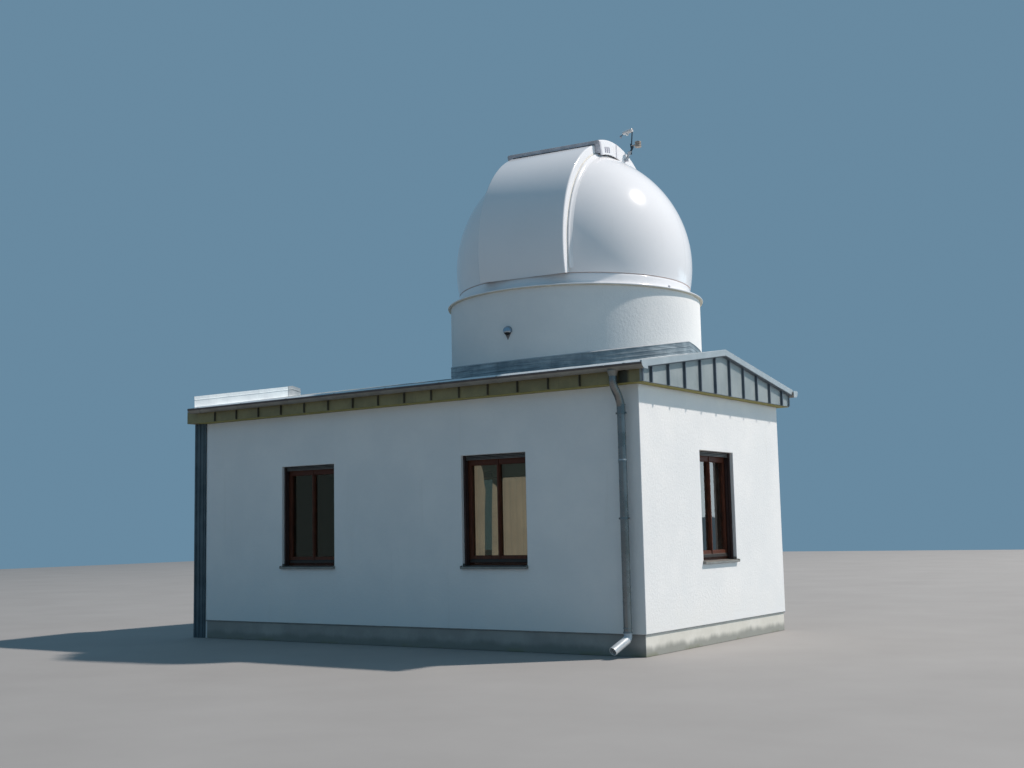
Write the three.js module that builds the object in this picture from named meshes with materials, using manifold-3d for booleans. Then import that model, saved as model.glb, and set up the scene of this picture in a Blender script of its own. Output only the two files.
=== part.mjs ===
// A small observatory: a rendered single-storey house with a low pitched zinc roof, and on it
// a round drum that carries a turning white dome with a two-piece shutter over its slit.
// Millimetres, +Z up. The origin is on the ground under the dome's axis. The front long wall
// faces -Y, the free gable faces +X, and the plain party wall is the end at -X.
import * as THREE from 'three';
import { mergeVertices } from 'three/addons/utils/BufferGeometryUtils.js';
import Module from 'manifold-3d';

const wasm = await Module();
wasm.setup();

// House
const gableX = 1869;
const partyX = -4931;
const halfDepth = 1832;
const plinthHeight = 230;
const plinthSetback = 15;
const wallHead = 2820;
const wallThickness = 300;
const partyThickness = 240;
const seat = 0.3;
const overcut = 1;

// Windows
const openingWidth = 885;
const openingSill = 920;
const openingHead = 2180;
const longWallWindows = [-2862, -20];
const revealDepth = 110;
const frameDepth = 70;
const frameSide = 72;
const frameHead = 115;
const frameFoot = 120;
const frameBar = 44;
const glassThickness = 24;
const glassRebate = 12;

// Roof, eaves and gable cladding
const ridgeTop = 3346;
const pitch = 0.1588;
const roofThickness = 56;
const eavesOut = 138;
const vergeOut = 120;
const claddingThickness = 25;
const claddingFoot = 2830;
const soffitFoot = 2826;
const soffitTop = 2846;
const soffitSetback = 1;
const trimThickness = 50;
const trimDepth = 72;
const trimUpstand = 12;
const trimReach = 2002;
const endStripSize = {
  width: 209, rebate: 20, proud: 4, folds: 3, foldFoot: 9, foldCrown: 6, foldHeight: 12,
};
const flashing = {
  height: 155, skin: 12, lip: 8, lap: 6, foldReach: 40, footReach: 150, short: 107, rearEnd: 165,
};

// Rainwater goods
const gutterRadius = 62;
const gutterWall = 5;
const gutterTop = 3010;
const gutterEnds = [-4781, 2059];
const gutterLine = halfDepth + eavesOut + gutterRadius + seat;
const gutterSteps = 12;
const pipeRadius = 45;
const pipeX = 1705;
const pipeStandOff = 90;
const outletX = 1680;
const neckTop = 2805;
const neckFoot = 2640;
const shoeTop = 190;
const shoeReach = 215;
const shoeTurn = 60;
const shoeFoot = 80;

// Drum
const drumRadius = 1560;
const drumInside = 1360;
const drumTop = 4085;
const collarRadius = 1572;
const collarHeight = 155;
const ringLip = 1587.5;
const ringLipHeight = 10;
const ringTop = 4243;
const ringShoulder = 1430;
const ringInside = 1375;
const ventHeight = 3605;
const ventRadius = 58;
const ventTurn = -88.5;
const ventMouth = 22;

// Dome: a sphere about its own centre, turned so that its slit faces a little right of the front
const domeHeight = 4560;
const domeTurn = 7;
const domeRadius = 1483.6;
const shellThickness = 16;
const skirtDrop = 309;
const footRingWidth = 50;
const footRingHeight = 45;
const footRingGap = 0.6;
const roundSteps = 72;
const hoopSteps = 120;

// Slit, rails and shutters. Angles rise from the horizon at the front and pass 90 at the zenith.
const slitHalf = 500;
const slitFrom = -4;
const slitTo = 114;
const railFrom = -11;
const railTo = 192;
const railHalf = 610;
const railTop = 1400;
const railLift = 1.1;
const coamingWidth = 22;
const coamingTop = 1440;
const frontShutter = {
  from: -12.9, to: 74, half: 560, outer: 1510, inner: 1497, skirt: 14, foot: 1420,
};
const upperShutter = {
  from: 69.5, to: 121, half: 632, outer: 1560, inner: 1544, skirt: 14, foot: 1375,
};
const hoopSkirt = 16;
const hoopSpan = 2;
const hoopFoot = 1517;
const runnerGap = 0.85;
const runnerHeight = 40;
const runnerSpan = 4;
const frontRunners = { width: 22, angles: [0, 62] };
const upperRunners = { width: 34, angles: [74, 112] };
const runnerLap = 4;

// Weather mast on the upper shutter's right cheek, seen from the front. Distances are out from the
// cheek, back from the dome's axis and up from its centre
const mastPlate = { thickness: 10, back: [305, 365], up: [1385, 1445] };
const mastStay = { radius: 12, from: [13, 335, 1422], to: [66, 335, 1508] };
const mastPole = { radius: 9, from: [62, 335, 1498], to: [86, 343, 1835] };
const mastArm = { radius: 11, from: [88, 343, 1828], to: [-44, 343, 1800] };
const sensorBox = { out: [112, 200], back: [300, 380], up: [1600, 1678] };
const sensorStub = { out: [72, 114], back: [325, 350], up: [1620, 1650] };

const finishes = {
  render: { color: 0xf2f3f1, roughness: 0.9, metalness: 0 },
  plinth: { color: 0x8d8f8a, roughness: 0.9, metalness: 0 },
  concrete: { color: 0x9a9a95, roughness: 0.9, metalness: 0 },
  zinc: { color: 0x8b9499, roughness: 0.5, metalness: 0.8 },
  trim: { color: 0xaeb9c0, roughness: 0.45, metalness: 0.7 },
  darkZinc: { color: 0x4f6266, roughness: 0.5, metalness: 0.7 },
  gelcoat: { color: 0xf4f5f6, roughness: 0.2, metalness: 0 },
  steel: { color: 0xb9bdc0, roughness: 0.3, metalness: 1 },
  joinery: { color: 0x3a1512, roughness: 0.45, metalness: 0 },
  glass: { color: 0x5b6663, roughness: 0.05, metalness: 0 },
  mast: { color: 0x2b2f33, roughness: 0.5, metalness: 0.2 },
  sensor: { color: 0x8f8479, roughness: 0.5, metalness: 0 },
};

const radians = THREE.MathUtils.degToRad;
const roofHeight = (y) => ridgeTop - pitch * Math.abs(y);
const roofUnderside = (y) => roofHeight(y) - roofThickness;

// Shapes

function block([x0, x1], [y0, y1], [z0, z1]) {
  const geometry = new THREE.BoxGeometry(x1 - x0, y1 - y0, z1 - z0);
  return geometry.translate((x0 + x1) / 2, (y0 + y1) / 2, (z0 + z1) / 2);
}

function rectangle(x0, x1, y0, y1) {
  return [[x0, y0], [x1, y0], [x1, y1], [x0, y1]];
}

// An outline drawn in two axes and run along the third: (y, z) along x, (x, z) along y, (x, y) along z
function prism(outline, axis, [from, to]) {
  const shape = new THREE.Shape(outline.map(([u, v]) => new THREE.Vector2(u, v)));
  const geometry = new THREE.ExtrudeGeometry(shape, { depth: to - from, bevelEnabled: false });
  const [x, y, z] = [[1, 0, 0], [0, 1, 0], [0, 0, 1]].map((axes) => new THREE.Vector3(...axes));
  const turns = { x: [y, z, x], y: [x, z, y.clone().negate()], z: [x, y, z] };
  geometry.applyMatrix4(new THREE.Matrix4().makeBasis(...turns[axis]));
  const places = { x: [from, 0, 0], y: [0, to, 0], z: [0, 0, from] };
  return geometry.translate(...places[axis]);
}

// A prism with holes that run right through it
function pierced(outline, axis, [from, to], holes) {
  const cutters = holes.map((hole) => prism(hole, axis, [from - overcut, to + overcut]));
  return cut(prism(outline, axis, [from, to]), ...cutters);
}

// A closed profile of (radius, height) points turned about the Z axis
function turned(profile, steps = roundSteps) {
  const points = [...profile, profile[0]].map(([r, h]) => new THREE.Vector2(r, h));
  return faceOut(new THREE.LatheGeometry(points, steps).rotateX(Math.PI / 2));
}

// A round column on the Z axis, from the ground to the drum's top
function column(radius) {
  return turned([[0, 0], [radius, 0], [radius, drumTop], [0, drumTop]]);
}

function drumSector([inner, outer], [from, to], [z0, z1]) {
  const shape = new THREE.Shape();
  shape.absarc(0, 0, outer, radians(from), radians(to), false);
  shape.absarc(0, 0, inner, radians(to), radians(from), true);
  const curveSegments = Math.round((roundSteps * (to - from)) / 720);
  const settings = { depth: z1 - z0, bevelEnabled: false, curveSegments };
  return new THREE.ExtrudeGeometry(shape, settings).translate(0, 0, z0);
}

// A closed profile of (across, radius) points swept about the dome's cross axis between two angles
function hooped(profile, from, to) {
  const points = [...profile, profile[0]].map(([across, r]) => new THREE.Vector2(r, across));
  const whole = faceOut(new THREE.LatheGeometry(points, hoopSteps).rotateZ(-Math.PI / 2));
  return common(whole, fan(from, to));
}

// A wedge of space about the dome's cross axis between two angles
function fan(from, to) {
  const reach = 2600;
  const width = 900;
  const count = Math.ceil((to - from) / 30);
  const outline = [[0, 0]];
  for (let i = 0; i <= count; i += 1) {
    const angle = radians(from + ((to - from) * i) / count);
    outline.push([-reach * Math.cos(angle), reach * Math.sin(angle)]);
  }
  return prism(outline.reverse(), 'x', [-width, width]);
}

function rod(start, end, radius, sides = 12) {
  const [a, b] = [new THREE.Vector3(...start), new THREE.Vector3(...end)];
  const along = b.clone().sub(a);
  const geometry = new THREE.CylinderGeometry(radius, radius, along.length(), sides);
  const turn = new THREE.Quaternion().setFromUnitVectors(new THREE.Vector3(0, 1, 0), along.normalize());
  geometry.applyQuaternion(turn);
  return geometry.translate(...a.add(b).multiplyScalar(0.5));
}

// Joining and cutting

function welded(geometry) {
  const bare = geometry.clone();
  bare.deleteAttribute('normal');
  bare.deleteAttribute('uv');
  return mergeVertices(bare, 0.01);
}

function faceOut(geometry) {
  const shape = welded(geometry);
  const { index, attributes } = shape;
  const [a, b, c] = [new THREE.Vector3(), new THREE.Vector3(), new THREE.Vector3()];
  const kept = [];
  let volume = 0;
  for (let i = 0; i < index.count; i += 3) {
    const corners = [index.getX(i), index.getX(i + 1), index.getX(i + 2)];
    if (new Set(corners).size < 3) continue;
    [a, b, c].forEach((corner, k) => corner.fromBufferAttribute(attributes.position, corners[k]));
    volume += a.dot(b.cross(c));
    kept.push(...corners);
  }
  if (volume < 0) kept.reverse();
  shape.setIndex(kept);
  return shape;
}

function solid(geometry) {
  const shape = faceOut(geometry);
  const vertProperties = new Float32Array(shape.attributes.position.array);
  const triVerts = new Uint32Array(shape.index.array);
  return new wasm.Manifold(new wasm.Mesh({ numProp: 3, vertProperties, triVerts }));
}

function fromSolid(body) {
  const { vertProperties, triVerts } = body.getMesh();
  const geometry = new THREE.BufferGeometry();
  geometry.setAttribute('position', new THREE.BufferAttribute(vertProperties, 3));
  geometry.setIndex(new THREE.BufferAttribute(triVerts, 1));
  return geometry;
}

function cut(geometry, ...tools) {
  return fromSolid(tools.reduce((body, tool) => body.subtract(solid(tool)), solid(geometry)));
}

function join(geometry, ...others) {
  return fromSolid(others.reduce((body, other) => body.add(solid(other)), solid(geometry)));
}

function common(first, second) {
  return fromSolid(solid(first).intersect(solid(second)));
}

function piece(name, geometry, finish) {
  const bare = geometry.clone();
  bare.deleteAttribute('uv');
  const flat = bare.index ? bare.toNonIndexed() : bare;
  flat.computeVertexNormals();
  const mesh = new THREE.Mesh(flat, new THREE.MeshStandardMaterial(finishes[finish]));
  mesh.name = name;
  return mesh;
}

// House walls, floor and ceiling

function windowHole(centre) {
  return rectangle(centre - openingWidth / 2, centre + openingWidth / 2, openingSill, openingHead);
}

function walls() {
  const innerY = halfDepth - wallThickness;
  const innerX = gableX - wallThickness;
  const partyInside = partyX + partyThickness;
  const longWall = rectangle(partyInside, gableX, plinthHeight, wallHead);
  const longHoles = longWallWindows.map(windowHole);
  const underRoof = (y) => roofUnderside(y) - seat;
  const gableOutline = [
    [-innerY, plinthHeight], [innerY, plinthHeight], [innerY, wallHead], [halfDepth, wallHead],
    [halfDepth, underRoof(halfDepth)], [0, underRoof(0)], [-halfDepth, underRoof(halfDepth)],
    [-halfDepth, wallHead], [-innerY, wallHead],
  ];
  const partyHalf = halfDepth - endStripSize.rebate;
  const partyOutline = [
    [-partyHalf, 0], [partyHalf, 0], [partyHalf, underRoof(partyHalf)], [0, underRoof(0)],
    [-partyHalf, underRoof(partyHalf)],
  ];
  const plinthFace = halfDepth - plinthSetback;
  const plinthEnd = gableX - plinthSetback;
  const plinthOutline = [
    [partyInside, -plinthFace], [plinthEnd, -plinthFace], [plinthEnd, plinthFace],
    [partyInside, plinthFace], [partyInside, innerY], [innerX, innerY], [innerX, -innerY],
    [partyInside, -innerY],
  ];
  const ceilingHeights = [wallHead, underRoof(halfDepth)];
  const ceiling = block([partyInside, innerX], [-halfDepth, halfDepth], ceilingHeights);
  const room = block([partyInside, innerX], [-innerY, innerY], [0, plinthHeight]);
  return [
    piece('floor_slab', room, 'concrete'),
    piece('plinth', prism(plinthOutline, 'z', [0, plinthHeight]), 'plinth'),
    piece('front_wall', pierced(longWall, 'y', [-halfDepth, -innerY], longHoles), 'render'),
    piece('rear_wall', pierced(longWall, 'y', [innerY, halfDepth], longHoles), 'render'),
    piece('gable_wall', pierced(gableOutline, 'x', [innerX, gableX], [windowHole(0)]), 'render'),
    piece('party_wall', prism(partyOutline, 'x', [partyX, partyInside]), 'render'),
    piece('ceiling_slab', cut(ceiling, column(drumInside)), 'concrete'),
  ];
}

// Windows: one frame with a centre bar, and one sheet of glass held in it

function windowPieces({ name, position, turn }) {
  const halfWidth = openingWidth / 2 - seat;
  const [foot, head] = [openingSill + seat, openingHead - seat];
  const [glassFoot, glassHead] = [foot + frameFoot, head - frameHead];
  const glassHalf = halfWidth - frameSide;
  const front = revealDepth;
  const glassFront = front + (frameDepth - glassThickness) / 2;
  const outline = rectangle(-halfWidth, halfWidth, foot, head);
  const panes = [
    rectangle(-glassHalf, -frameBar / 2, glassFoot, glassHead),
    rectangle(frameBar / 2, glassHalf, glassFoot, glassHead),
  ];
  const frame = pierced(outline, 'y', [front, front + frameDepth], panes);
  const sheet = (edge) => (
    rectangle(-glassHalf - edge, glassHalf + edge, glassFoot - edge, glassHead + edge)
  );
  const rebate = prism(sheet(glassRebate), 'y', [glassFront - seat, front + frameDepth + overcut]);
  const glass = prism(sheet(glassRebate - seat), 'y', [glassFront, glassFront + glassThickness]);
  const group = new THREE.Group();
  group.add(piece(`${name}_frame`, cut(frame, rebate), 'joinery'));
  group.add(piece(`${name}_glass`, glass, 'glass'));
  group.position.set(...position);
  group.rotation.z = turn;
  return group;
}

function windows() {
  const row = (side, y, turn) => longWallWindows.map((x, i) => (
    { name: `${side}_window_${i + 1}`, position: [x, y, 0], turn }
  ));
  const gable = { name: 'gable_window', position: [gableX, 0, 0], turn: Math.PI / 2 };
  return [...row('front', -halfDepth, 0), ...row('rear', halfDepth, Math.PI), gable].map(windowPieces);
}

// Roof slopes, eaves boxes, gable cladding and flashings

function roofBand(low, high, reach, end = reach) {
  const at = (y, lift) => [y, roofHeight(y) + lift];
  return [at(-reach, low), at(0, low), at(end, low), at(end, high), at(0, high), at(-reach, high)];
}

// A soffit and a fascia under each slope. The fascia runs on to the back of the gable cladding
function eaves(side) {
  const outer = halfDepth + eavesOut;
  const inner = outer - claddingThickness;
  const fasciaHead = [[outer, roofUnderside(outer) - seat], [inner, roofUnderside(inner) - seat]];
  const boxOutline = [
    [halfDepth, soffitFoot], [outer, soffitFoot], ...fasciaHead, [inner, soffitTop],
    [halfDepth, soffitTop],
  ];
  const overSoffit = soffitTop + seat;
  const fasciaOutline = [[outer, overSoffit], ...fasciaHead, [inner, overSoffit]];
  const alongX = (outline, span) => prism(outline.map(([y, z]) => [side * y, z]), 'x', span);
  const fasciaEnd = gableX + vergeOut - claddingThickness - seat;
  return join(
    alongX(boxOutline, [partyX, gableX - seat]),
    alongX(fasciaOutline, [gableX - claddingThickness, fasciaEnd]),
  );
}

function gableCladding() {
  const outer = halfDepth + eavesOut;
  const panelTop = [outer, 0, -outer].map((y) => [y, roofUnderside(y) - seat]);
  const outline = [[-outer, claddingFoot], [outer, claddingFoot], ...panelTop];
  const face = gableX + vergeOut;
  const panel = prism(outline, 'x', [face - claddingThickness, face]);
  const soffit = block([gableX, face - soffitSetback], [-outer, outer], [soffitFoot, soffitTop]);
  return join(panel, soffit);
}

function roofSlope(side) {
  const outer = halfDepth + eavesOut;
  const outline = [
    [side * seat, roofUnderside(0)], [side * outer, roofUnderside(outer)],
    [side * outer, roofHeight(outer)], [side * seat, roofHeight(0)],
  ];
  const slope = prism(outline, 'x', [partyX, gableX + vergeOut]);
  return cut(slope, column(drumRadius + seat));
}

function vergeTrim() {
  const outline = roofBand(trimUpstand - trimDepth, trimUpstand, trimReach);
  const start = gableX + vergeOut + seat;
  const end = start + trimThickness;
  const overGutter = (side) => {
    const y = [halfDepth + eavesOut - seat, trimReach + overcut].map((reach) => side * reach);
    return block([start - overcut, end + overcut], y, [gutterTop - trimDepth, gutterTop + overcut]);
  };
  return cut(prism(outline, 'x', [start, end]), overGutter(-1), overGutter(1));
}

// An upstand with a fold half way up and a foot that lies on the roof
function abutmentFlashing() {
  const { height, skin, lip, lap, foldReach, footReach, short, rearEnd } = flashing;
  const near = halfDepth + eavesOut - short;
  const band = (low, high, [from, to]) => (
    prism(roofBand(low, high, near, rearEnd), 'x', [partyX + from, partyX + to])
  );
  const upstand = band(seat, height, [0, skin]);
  const fold = band(height / 2 - lip, height / 2, [lap, foldReach]);
  const foot = band(seat, lip, [lap, footReach]);
  return join(upstand, fold, foot);
}

function endStrip(side) {
  const { width, rebate, proud, folds, foldFoot, foldCrown, foldHeight } = endStripSize;
  const face = halfDepth + proud;
  const back = halfDepth - rebate + seat;
  const outline = [[partyX, back], [partyX + width, back], [partyX + width, face]];
  for (let i = folds; i > 0; i -= 1) {
    const middle = partyX + (width * (i - 0.5)) / folds;
    const crown = face + foldHeight;
    outline.push([middle + foldFoot, face], [middle + foldCrown, crown]);
    outline.push([middle - foldCrown, crown], [middle - foldFoot, face]);
  }
  outline.push([partyX, face]);
  return prism(outline.map(([x, y]) => [x, side * y]), 'z', [0, soffitFoot - seat]);
}

function roof() {
  const pieces = [];
  for (const [name, side] of [['front', -1], ['rear', 1]]) {
    pieces.push(
      piece(`${name}_roof_slope`, roofSlope(side), 'zinc'),
      piece(`${name}_eaves`, faceOut(eaves(side)), 'zinc'),
      piece(`${name}_end_strip`, faceOut(endStrip(side)), 'darkZinc'),
    );
  }
  pieces.push(
    piece('gable_cladding', gableCladding(), 'zinc'),
    piece('verge_trim', vergeTrim(), 'trim'),
    piece('abutment_flashing', abutmentFlashing(), 'trim'),
  );
  return pieces;
}

// Gutters and downpipes

function gutter(side) {
  const centre = side * gutterLine;
  const halfRound = (radius, [from, to], top) => {
    const outline = [];
    for (let i = 0; i <= gutterSteps; i += 1) {
      const angle = Math.PI + (Math.PI * i) / gutterSteps;
      outline.push([centre + radius * Math.cos(angle), gutterTop + radius * Math.sin(angle)]);
    }
    outline.push([centre + radius, gutterTop + top], [centre - radius, gutterTop + top]);
    return prism(outline, 'x', [from, to]);
  };
  const [from, to] = gutterEnds;
  const inside = [from + gutterWall, to - gutterWall];
  const hollow = halfRound(gutterRadius - gutterWall, inside, gutterRadius);
  return cut(halfRound(gutterRadius, [from, to], 0.01), hollow);
}

// Straight lengths of pipe with a ball elbow at each bend, ending in a shoe that kicks outwards
function downpipe(side) {
  const gutterY = side * gutterLine;
  const wallY = side * (halfDepth + pipeStandOff);
  const route = [
    [outletX, gutterY, gutterTop - gutterRadius - seat],
    [outletX, gutterY, neckTop],
    [pipeX, wallY, neckFoot],
    [pipeX, wallY, shoeTop],
    [pipeX - shoeTurn, wallY + side * shoeReach, shoeFoot],
  ];
  const lengths = route.slice(1).map((point, i) => rod(route[i], point, pipeRadius, 16));
  const ball = new THREE.SphereGeometry(pipeRadius, 16, 10);
  const elbows = route.slice(1, -1).map((point) => ball.clone().translate(...point));
  return join(...lengths, ...elbows);
}

function rainwater() {
  return [['front', -1], ['rear', 1]].flatMap(([name, side]) => [
    piece(`${name}_gutter`, gutter(side), 'zinc'),
    piece(`${name}_downpipe`, downpipe(side), 'zinc'),
  ]);
}

// Drum, its zinc collar, the vent hood and the white ring flashing on top

function drum() {
  const foot = roofUnderside(halfDepth) - seat;
  const pieces = [0, 90, 180, 270].map((from, i) => {
    const quarter = drumSector([drumInside, drumRadius], [from, from + 90], [foot, drumTop]);
    return piece(`drum_wall_${i + 1}`, quarter, 'render');
  });
  const collarRing = turned([
    [drumRadius + seat, foot], [collarRadius, foot],
    [collarRadius, drumTop], [drumRadius + seat, drumTop],
  ]);
  const reach = collarRadius + overcut;
  const collarBand = prism(roofBand(seat, collarHeight, reach), 'x', [-reach, reach]);
  const cowl = new THREE.SphereGeometry(ventRadius, 24, 16);
  const around = [-ventRadius - overcut, ventRadius + overcut];
  const vent = cut(cowl, block(around, around, [around[0], -ventMouth]));
  vent.translate(drumRadius, 0, ventHeight).rotateZ(radians(ventTurn));
  const ringProfile = [
    [ringInside, drumTop + seat], [ringLip, drumTop + seat], [ringLip, drumTop + ringLipHeight],
    [ringShoulder, ringTop], [ringInside, ringTop],
  ];
  pieces.push(
    piece('drum_collar', common(collarRing, collarBand), 'zinc'),
    piece('vent_hood', cut(vent, column(drumRadius + seat)), 'steel'),
    piece('ring_flashing', turned(ringProfile), 'gelcoat'),
  );
  return pieces;
}

// Dome shell in two halves, its foot ring, the slit rails and the shutters

function shellProfile() {
  const inner = domeRadius - shellThickness;
  const steps = 15;
  const arc = (radius) => {
    const foot = Math.asin(-skirtDrop / radius);
    const points = [];
    for (let i = 0; i <= steps; i += 1) {
      const angle = foot + ((Math.PI / 2 - foot) * i) / steps;
      points.push([i === steps ? 0 : radius * Math.cos(angle), radius * Math.sin(angle)]);
    }
    return points;
  };
  return [...arc(domeRadius), ...arc(inner).reverse()];
}

function shells() {
  const whole = turned(shellProfile());
  const reach = [-domeRadius - overcut, domeRadius + overcut];
  const slit = common(fan(slitFrom, slitTo), block([-slitHalf, slitHalf], reach, reach));
  const open = cut(whole, slit);
  return [['left', -1], ['right', 1]].map(([name, side]) => {
    const ends = side < 0 ? [reach[0], -seat / 2] : [seat / 2, reach[1]];
    return piece(`dome_shell_${name}`, common(open, block(ends, reach, reach)), 'gelcoat');
  });
}

function footRing() {
  const foot = ringTop + seat - domeHeight;
  const head = foot + footRingHeight;
  const outer = Math.sqrt((domeRadius - shellThickness) ** 2 - skirtDrop ** 2) - footRingGap;
  const inner = outer - footRingWidth;
  return turned([[inner, foot], [outer, foot], [outer, head], [inner, head]]);
}

// Each rail has an upright coaming beside the slit and a flat track that hugs the shell
function slitRail(side) {
  const shellAt = (across) => Math.sqrt((domeRadius + railLift) ** 2 - across ** 2);
  const middle = (slitHalf + railHalf) / 2;
  const profile = [
    [slitHalf, shellAt(slitHalf)], [middle, shellAt(middle)], [railHalf, shellAt(railHalf)],
    [railHalf, railTop], [slitHalf + coamingWidth, railTop], [slitHalf + coamingWidth, coamingTop],
    [slitHalf, coamingTop],
  ];
  return hooped(profile.map(([across, r]) => [side * across, r]), railFrom, railTo);
}

function channel({ half, outer, inner, skirt, foot, from, to }) {
  const leg = half - skirt;
  const profile = [
    [-half, foot], [-half, outer], [half, outer], [half, foot],
    [leg, foot], [leg, inner], [-leg, inner], [-leg, foot],
  ];
  return hooped(profile, from, to);
}

// Runner blocks under a shutter's skirts, which slide on the rails
function runners(outer, { width, angles }) {
  const foot = railTop + runnerGap;
  const section = rectangle(outer - width, outer, foot, railTop + runnerHeight);
  return [-1, 1].flatMap((side) => {
    const profile = section.map(([across, r]) => [side * across, r]);
    return angles.map((angle) => hooped(profile, angle, angle + runnerSpan));
  });
}

function frontShutterShape() {
  return join(channel(frontShutter), ...runners(frontShutter.half, frontRunners));
}

// The upper shutter has a deeper rim round each end
function upperShutterShape() {
  const { half, skirt, from, to } = upperShutter;
  const rim = { ...upperShutter, inner: hoopFoot, skirt: hoopSkirt };
  const rims = [from, to - hoopSpan].map((start) => (
    channel({ ...rim, from: start, to: start + hoopSpan })
  ));
  return join(channel(upperShutter), ...rims, ...runners(half - skirt + runnerLap, upperRunners));
}

// A point beside the cheek of the upper shutter, from its distance out, back and up
function besideCheek([out, back, up]) {
  return [upperShutter.half + seat + out, back, up];
}

function cheekBlock({ out, back, up }) {
  return block(out.map((x) => upperShutter.half + seat + x), back, up);
}

function cheekRod({ from, to, radius }, gap = 0) {
  return rod(besideCheek(from), besideCheek(to), radius + gap);
}

function weatherMast() {
  const plate = cheekBlock({ ...mastPlate, out: [0, mastPlate.thickness] });
  return join(plate, ...[mastStay, mastPole, mastArm].map((part) => cheekRod(part)));
}

function weatherSensor() {
  return cut(join(cheekBlock(sensorBox), cheekBlock(sensorStub)), cheekRod(mastPole, seat));
}

function dome() {
  const group = new THREE.Group();
  group.add(
    piece('dome_foot_ring', footRing(), 'gelcoat'),
    ...shells(),
    piece('slit_rail_left', slitRail(-1), 'gelcoat'),
    piece('slit_rail_right', slitRail(1), 'gelcoat'),
    piece('front_shutter', frontShutterShape(), 'gelcoat'),
    piece('upper_shutter', upperShutterShape(), 'gelcoat'),
    piece('weather_mast', weatherMast(), 'mast'),
    piece('weather_sensor', weatherSensor(), 'sensor'),
  );
  group.position.z = domeHeight;
  group.rotation.z = radians(domeTurn);
  return group;
}

const observatory = new THREE.Group();
observatory.add(...walls(), ...windows(), ...roof(), ...rainwater(), ...drum(), dome());

export default observatory;
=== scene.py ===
import math

import bmesh
import bpy
from mathutils import Matrix, Vector


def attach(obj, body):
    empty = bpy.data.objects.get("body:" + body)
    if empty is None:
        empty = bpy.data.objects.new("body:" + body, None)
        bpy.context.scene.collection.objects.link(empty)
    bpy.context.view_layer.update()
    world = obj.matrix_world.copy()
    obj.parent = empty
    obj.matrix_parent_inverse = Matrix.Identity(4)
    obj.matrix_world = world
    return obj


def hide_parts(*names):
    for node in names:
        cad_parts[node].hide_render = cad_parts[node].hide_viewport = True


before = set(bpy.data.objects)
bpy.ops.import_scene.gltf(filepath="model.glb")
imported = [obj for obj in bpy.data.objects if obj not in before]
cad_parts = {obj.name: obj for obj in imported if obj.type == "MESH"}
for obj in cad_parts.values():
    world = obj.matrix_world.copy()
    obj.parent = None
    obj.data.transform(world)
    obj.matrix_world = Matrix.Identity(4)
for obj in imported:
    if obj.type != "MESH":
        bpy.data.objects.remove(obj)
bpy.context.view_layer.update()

# The house in metres, as the solids have it. The origin is on the ground under the dome's axis
house = {
    "gableX": 1.869, "partyX": -4.931, "halfDepth": 1.832, "plinthHeight": 0.23,
    "wallHead": 2.82, "wall": 0.3, "partyWall": 0.24,
    "ridgeTop": 3.346, "pitch": 0.1588, "roof": 0.056, "eavesOut": 0.138, "vergeOut": 0.12,
    "seamPitch": 0.402, "firstSeam": 1.643, "seams": 16,
}
windowOpening = {
    "half": 0.4425, "sill": 0.92, "head": 2.18, "reveal": 0.11, "frame": 0.07,
    "longWall": (-2.862, -0.02),
}
drumSize = {"outside": 1.56, "inside": 1.36, "foot": 2.9988, "top": 4.085, "steps": 240}
domeSize = {"height": 4.56, "turn": 7, "radius": 1.4836, "skin": 0.016, "drop": 0.309}

eavesLine = house["halfDepth"] + house["eavesOut"]
vergeFace = house["gableX"] + house["vergeOut"]
longSides = ((-1, "front"), (1, "rear"))
hairGap = 0.0003  # between faces that would otherwise share a plane

domeTurn = Matrix.Rotation(math.radians(domeSize["turn"]), 4, "Z")
domePlace = Matrix.Translation((0, 0, domeSize["height"])) @ domeTurn


def roofAt(y):
    return house["ridgeTop"] - house["pitch"] * abs(y)


# Shader values


class Value:
    # A socket of a finish's node tree. Sums on it add Math nodes
    def __init__(self, finish, socket):
        self.finish = finish
        self.socket = socket

    def maths(self, operation, first, second):
        return self.finish.node("ShaderNodeMath", {"operation": operation}, {0: first, 1: second})

    def __add__(self, other):
        return self.maths("ADD", self, other)

    def __radd__(self, other):
        return self.maths("ADD", other, self)

    def __sub__(self, other):
        return self.maths("SUBTRACT", self, other)

    def __rsub__(self, other):
        return self.maths("SUBTRACT", other, self)

    def __mul__(self, other):
        return self.maths("MULTIPLY", self, other)

    def __rmul__(self, other):
        return self.maths("MULTIPLY", other, self)

    def __lt__(self, other):
        return self.maths("LESS_THAN", self, other)


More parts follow.
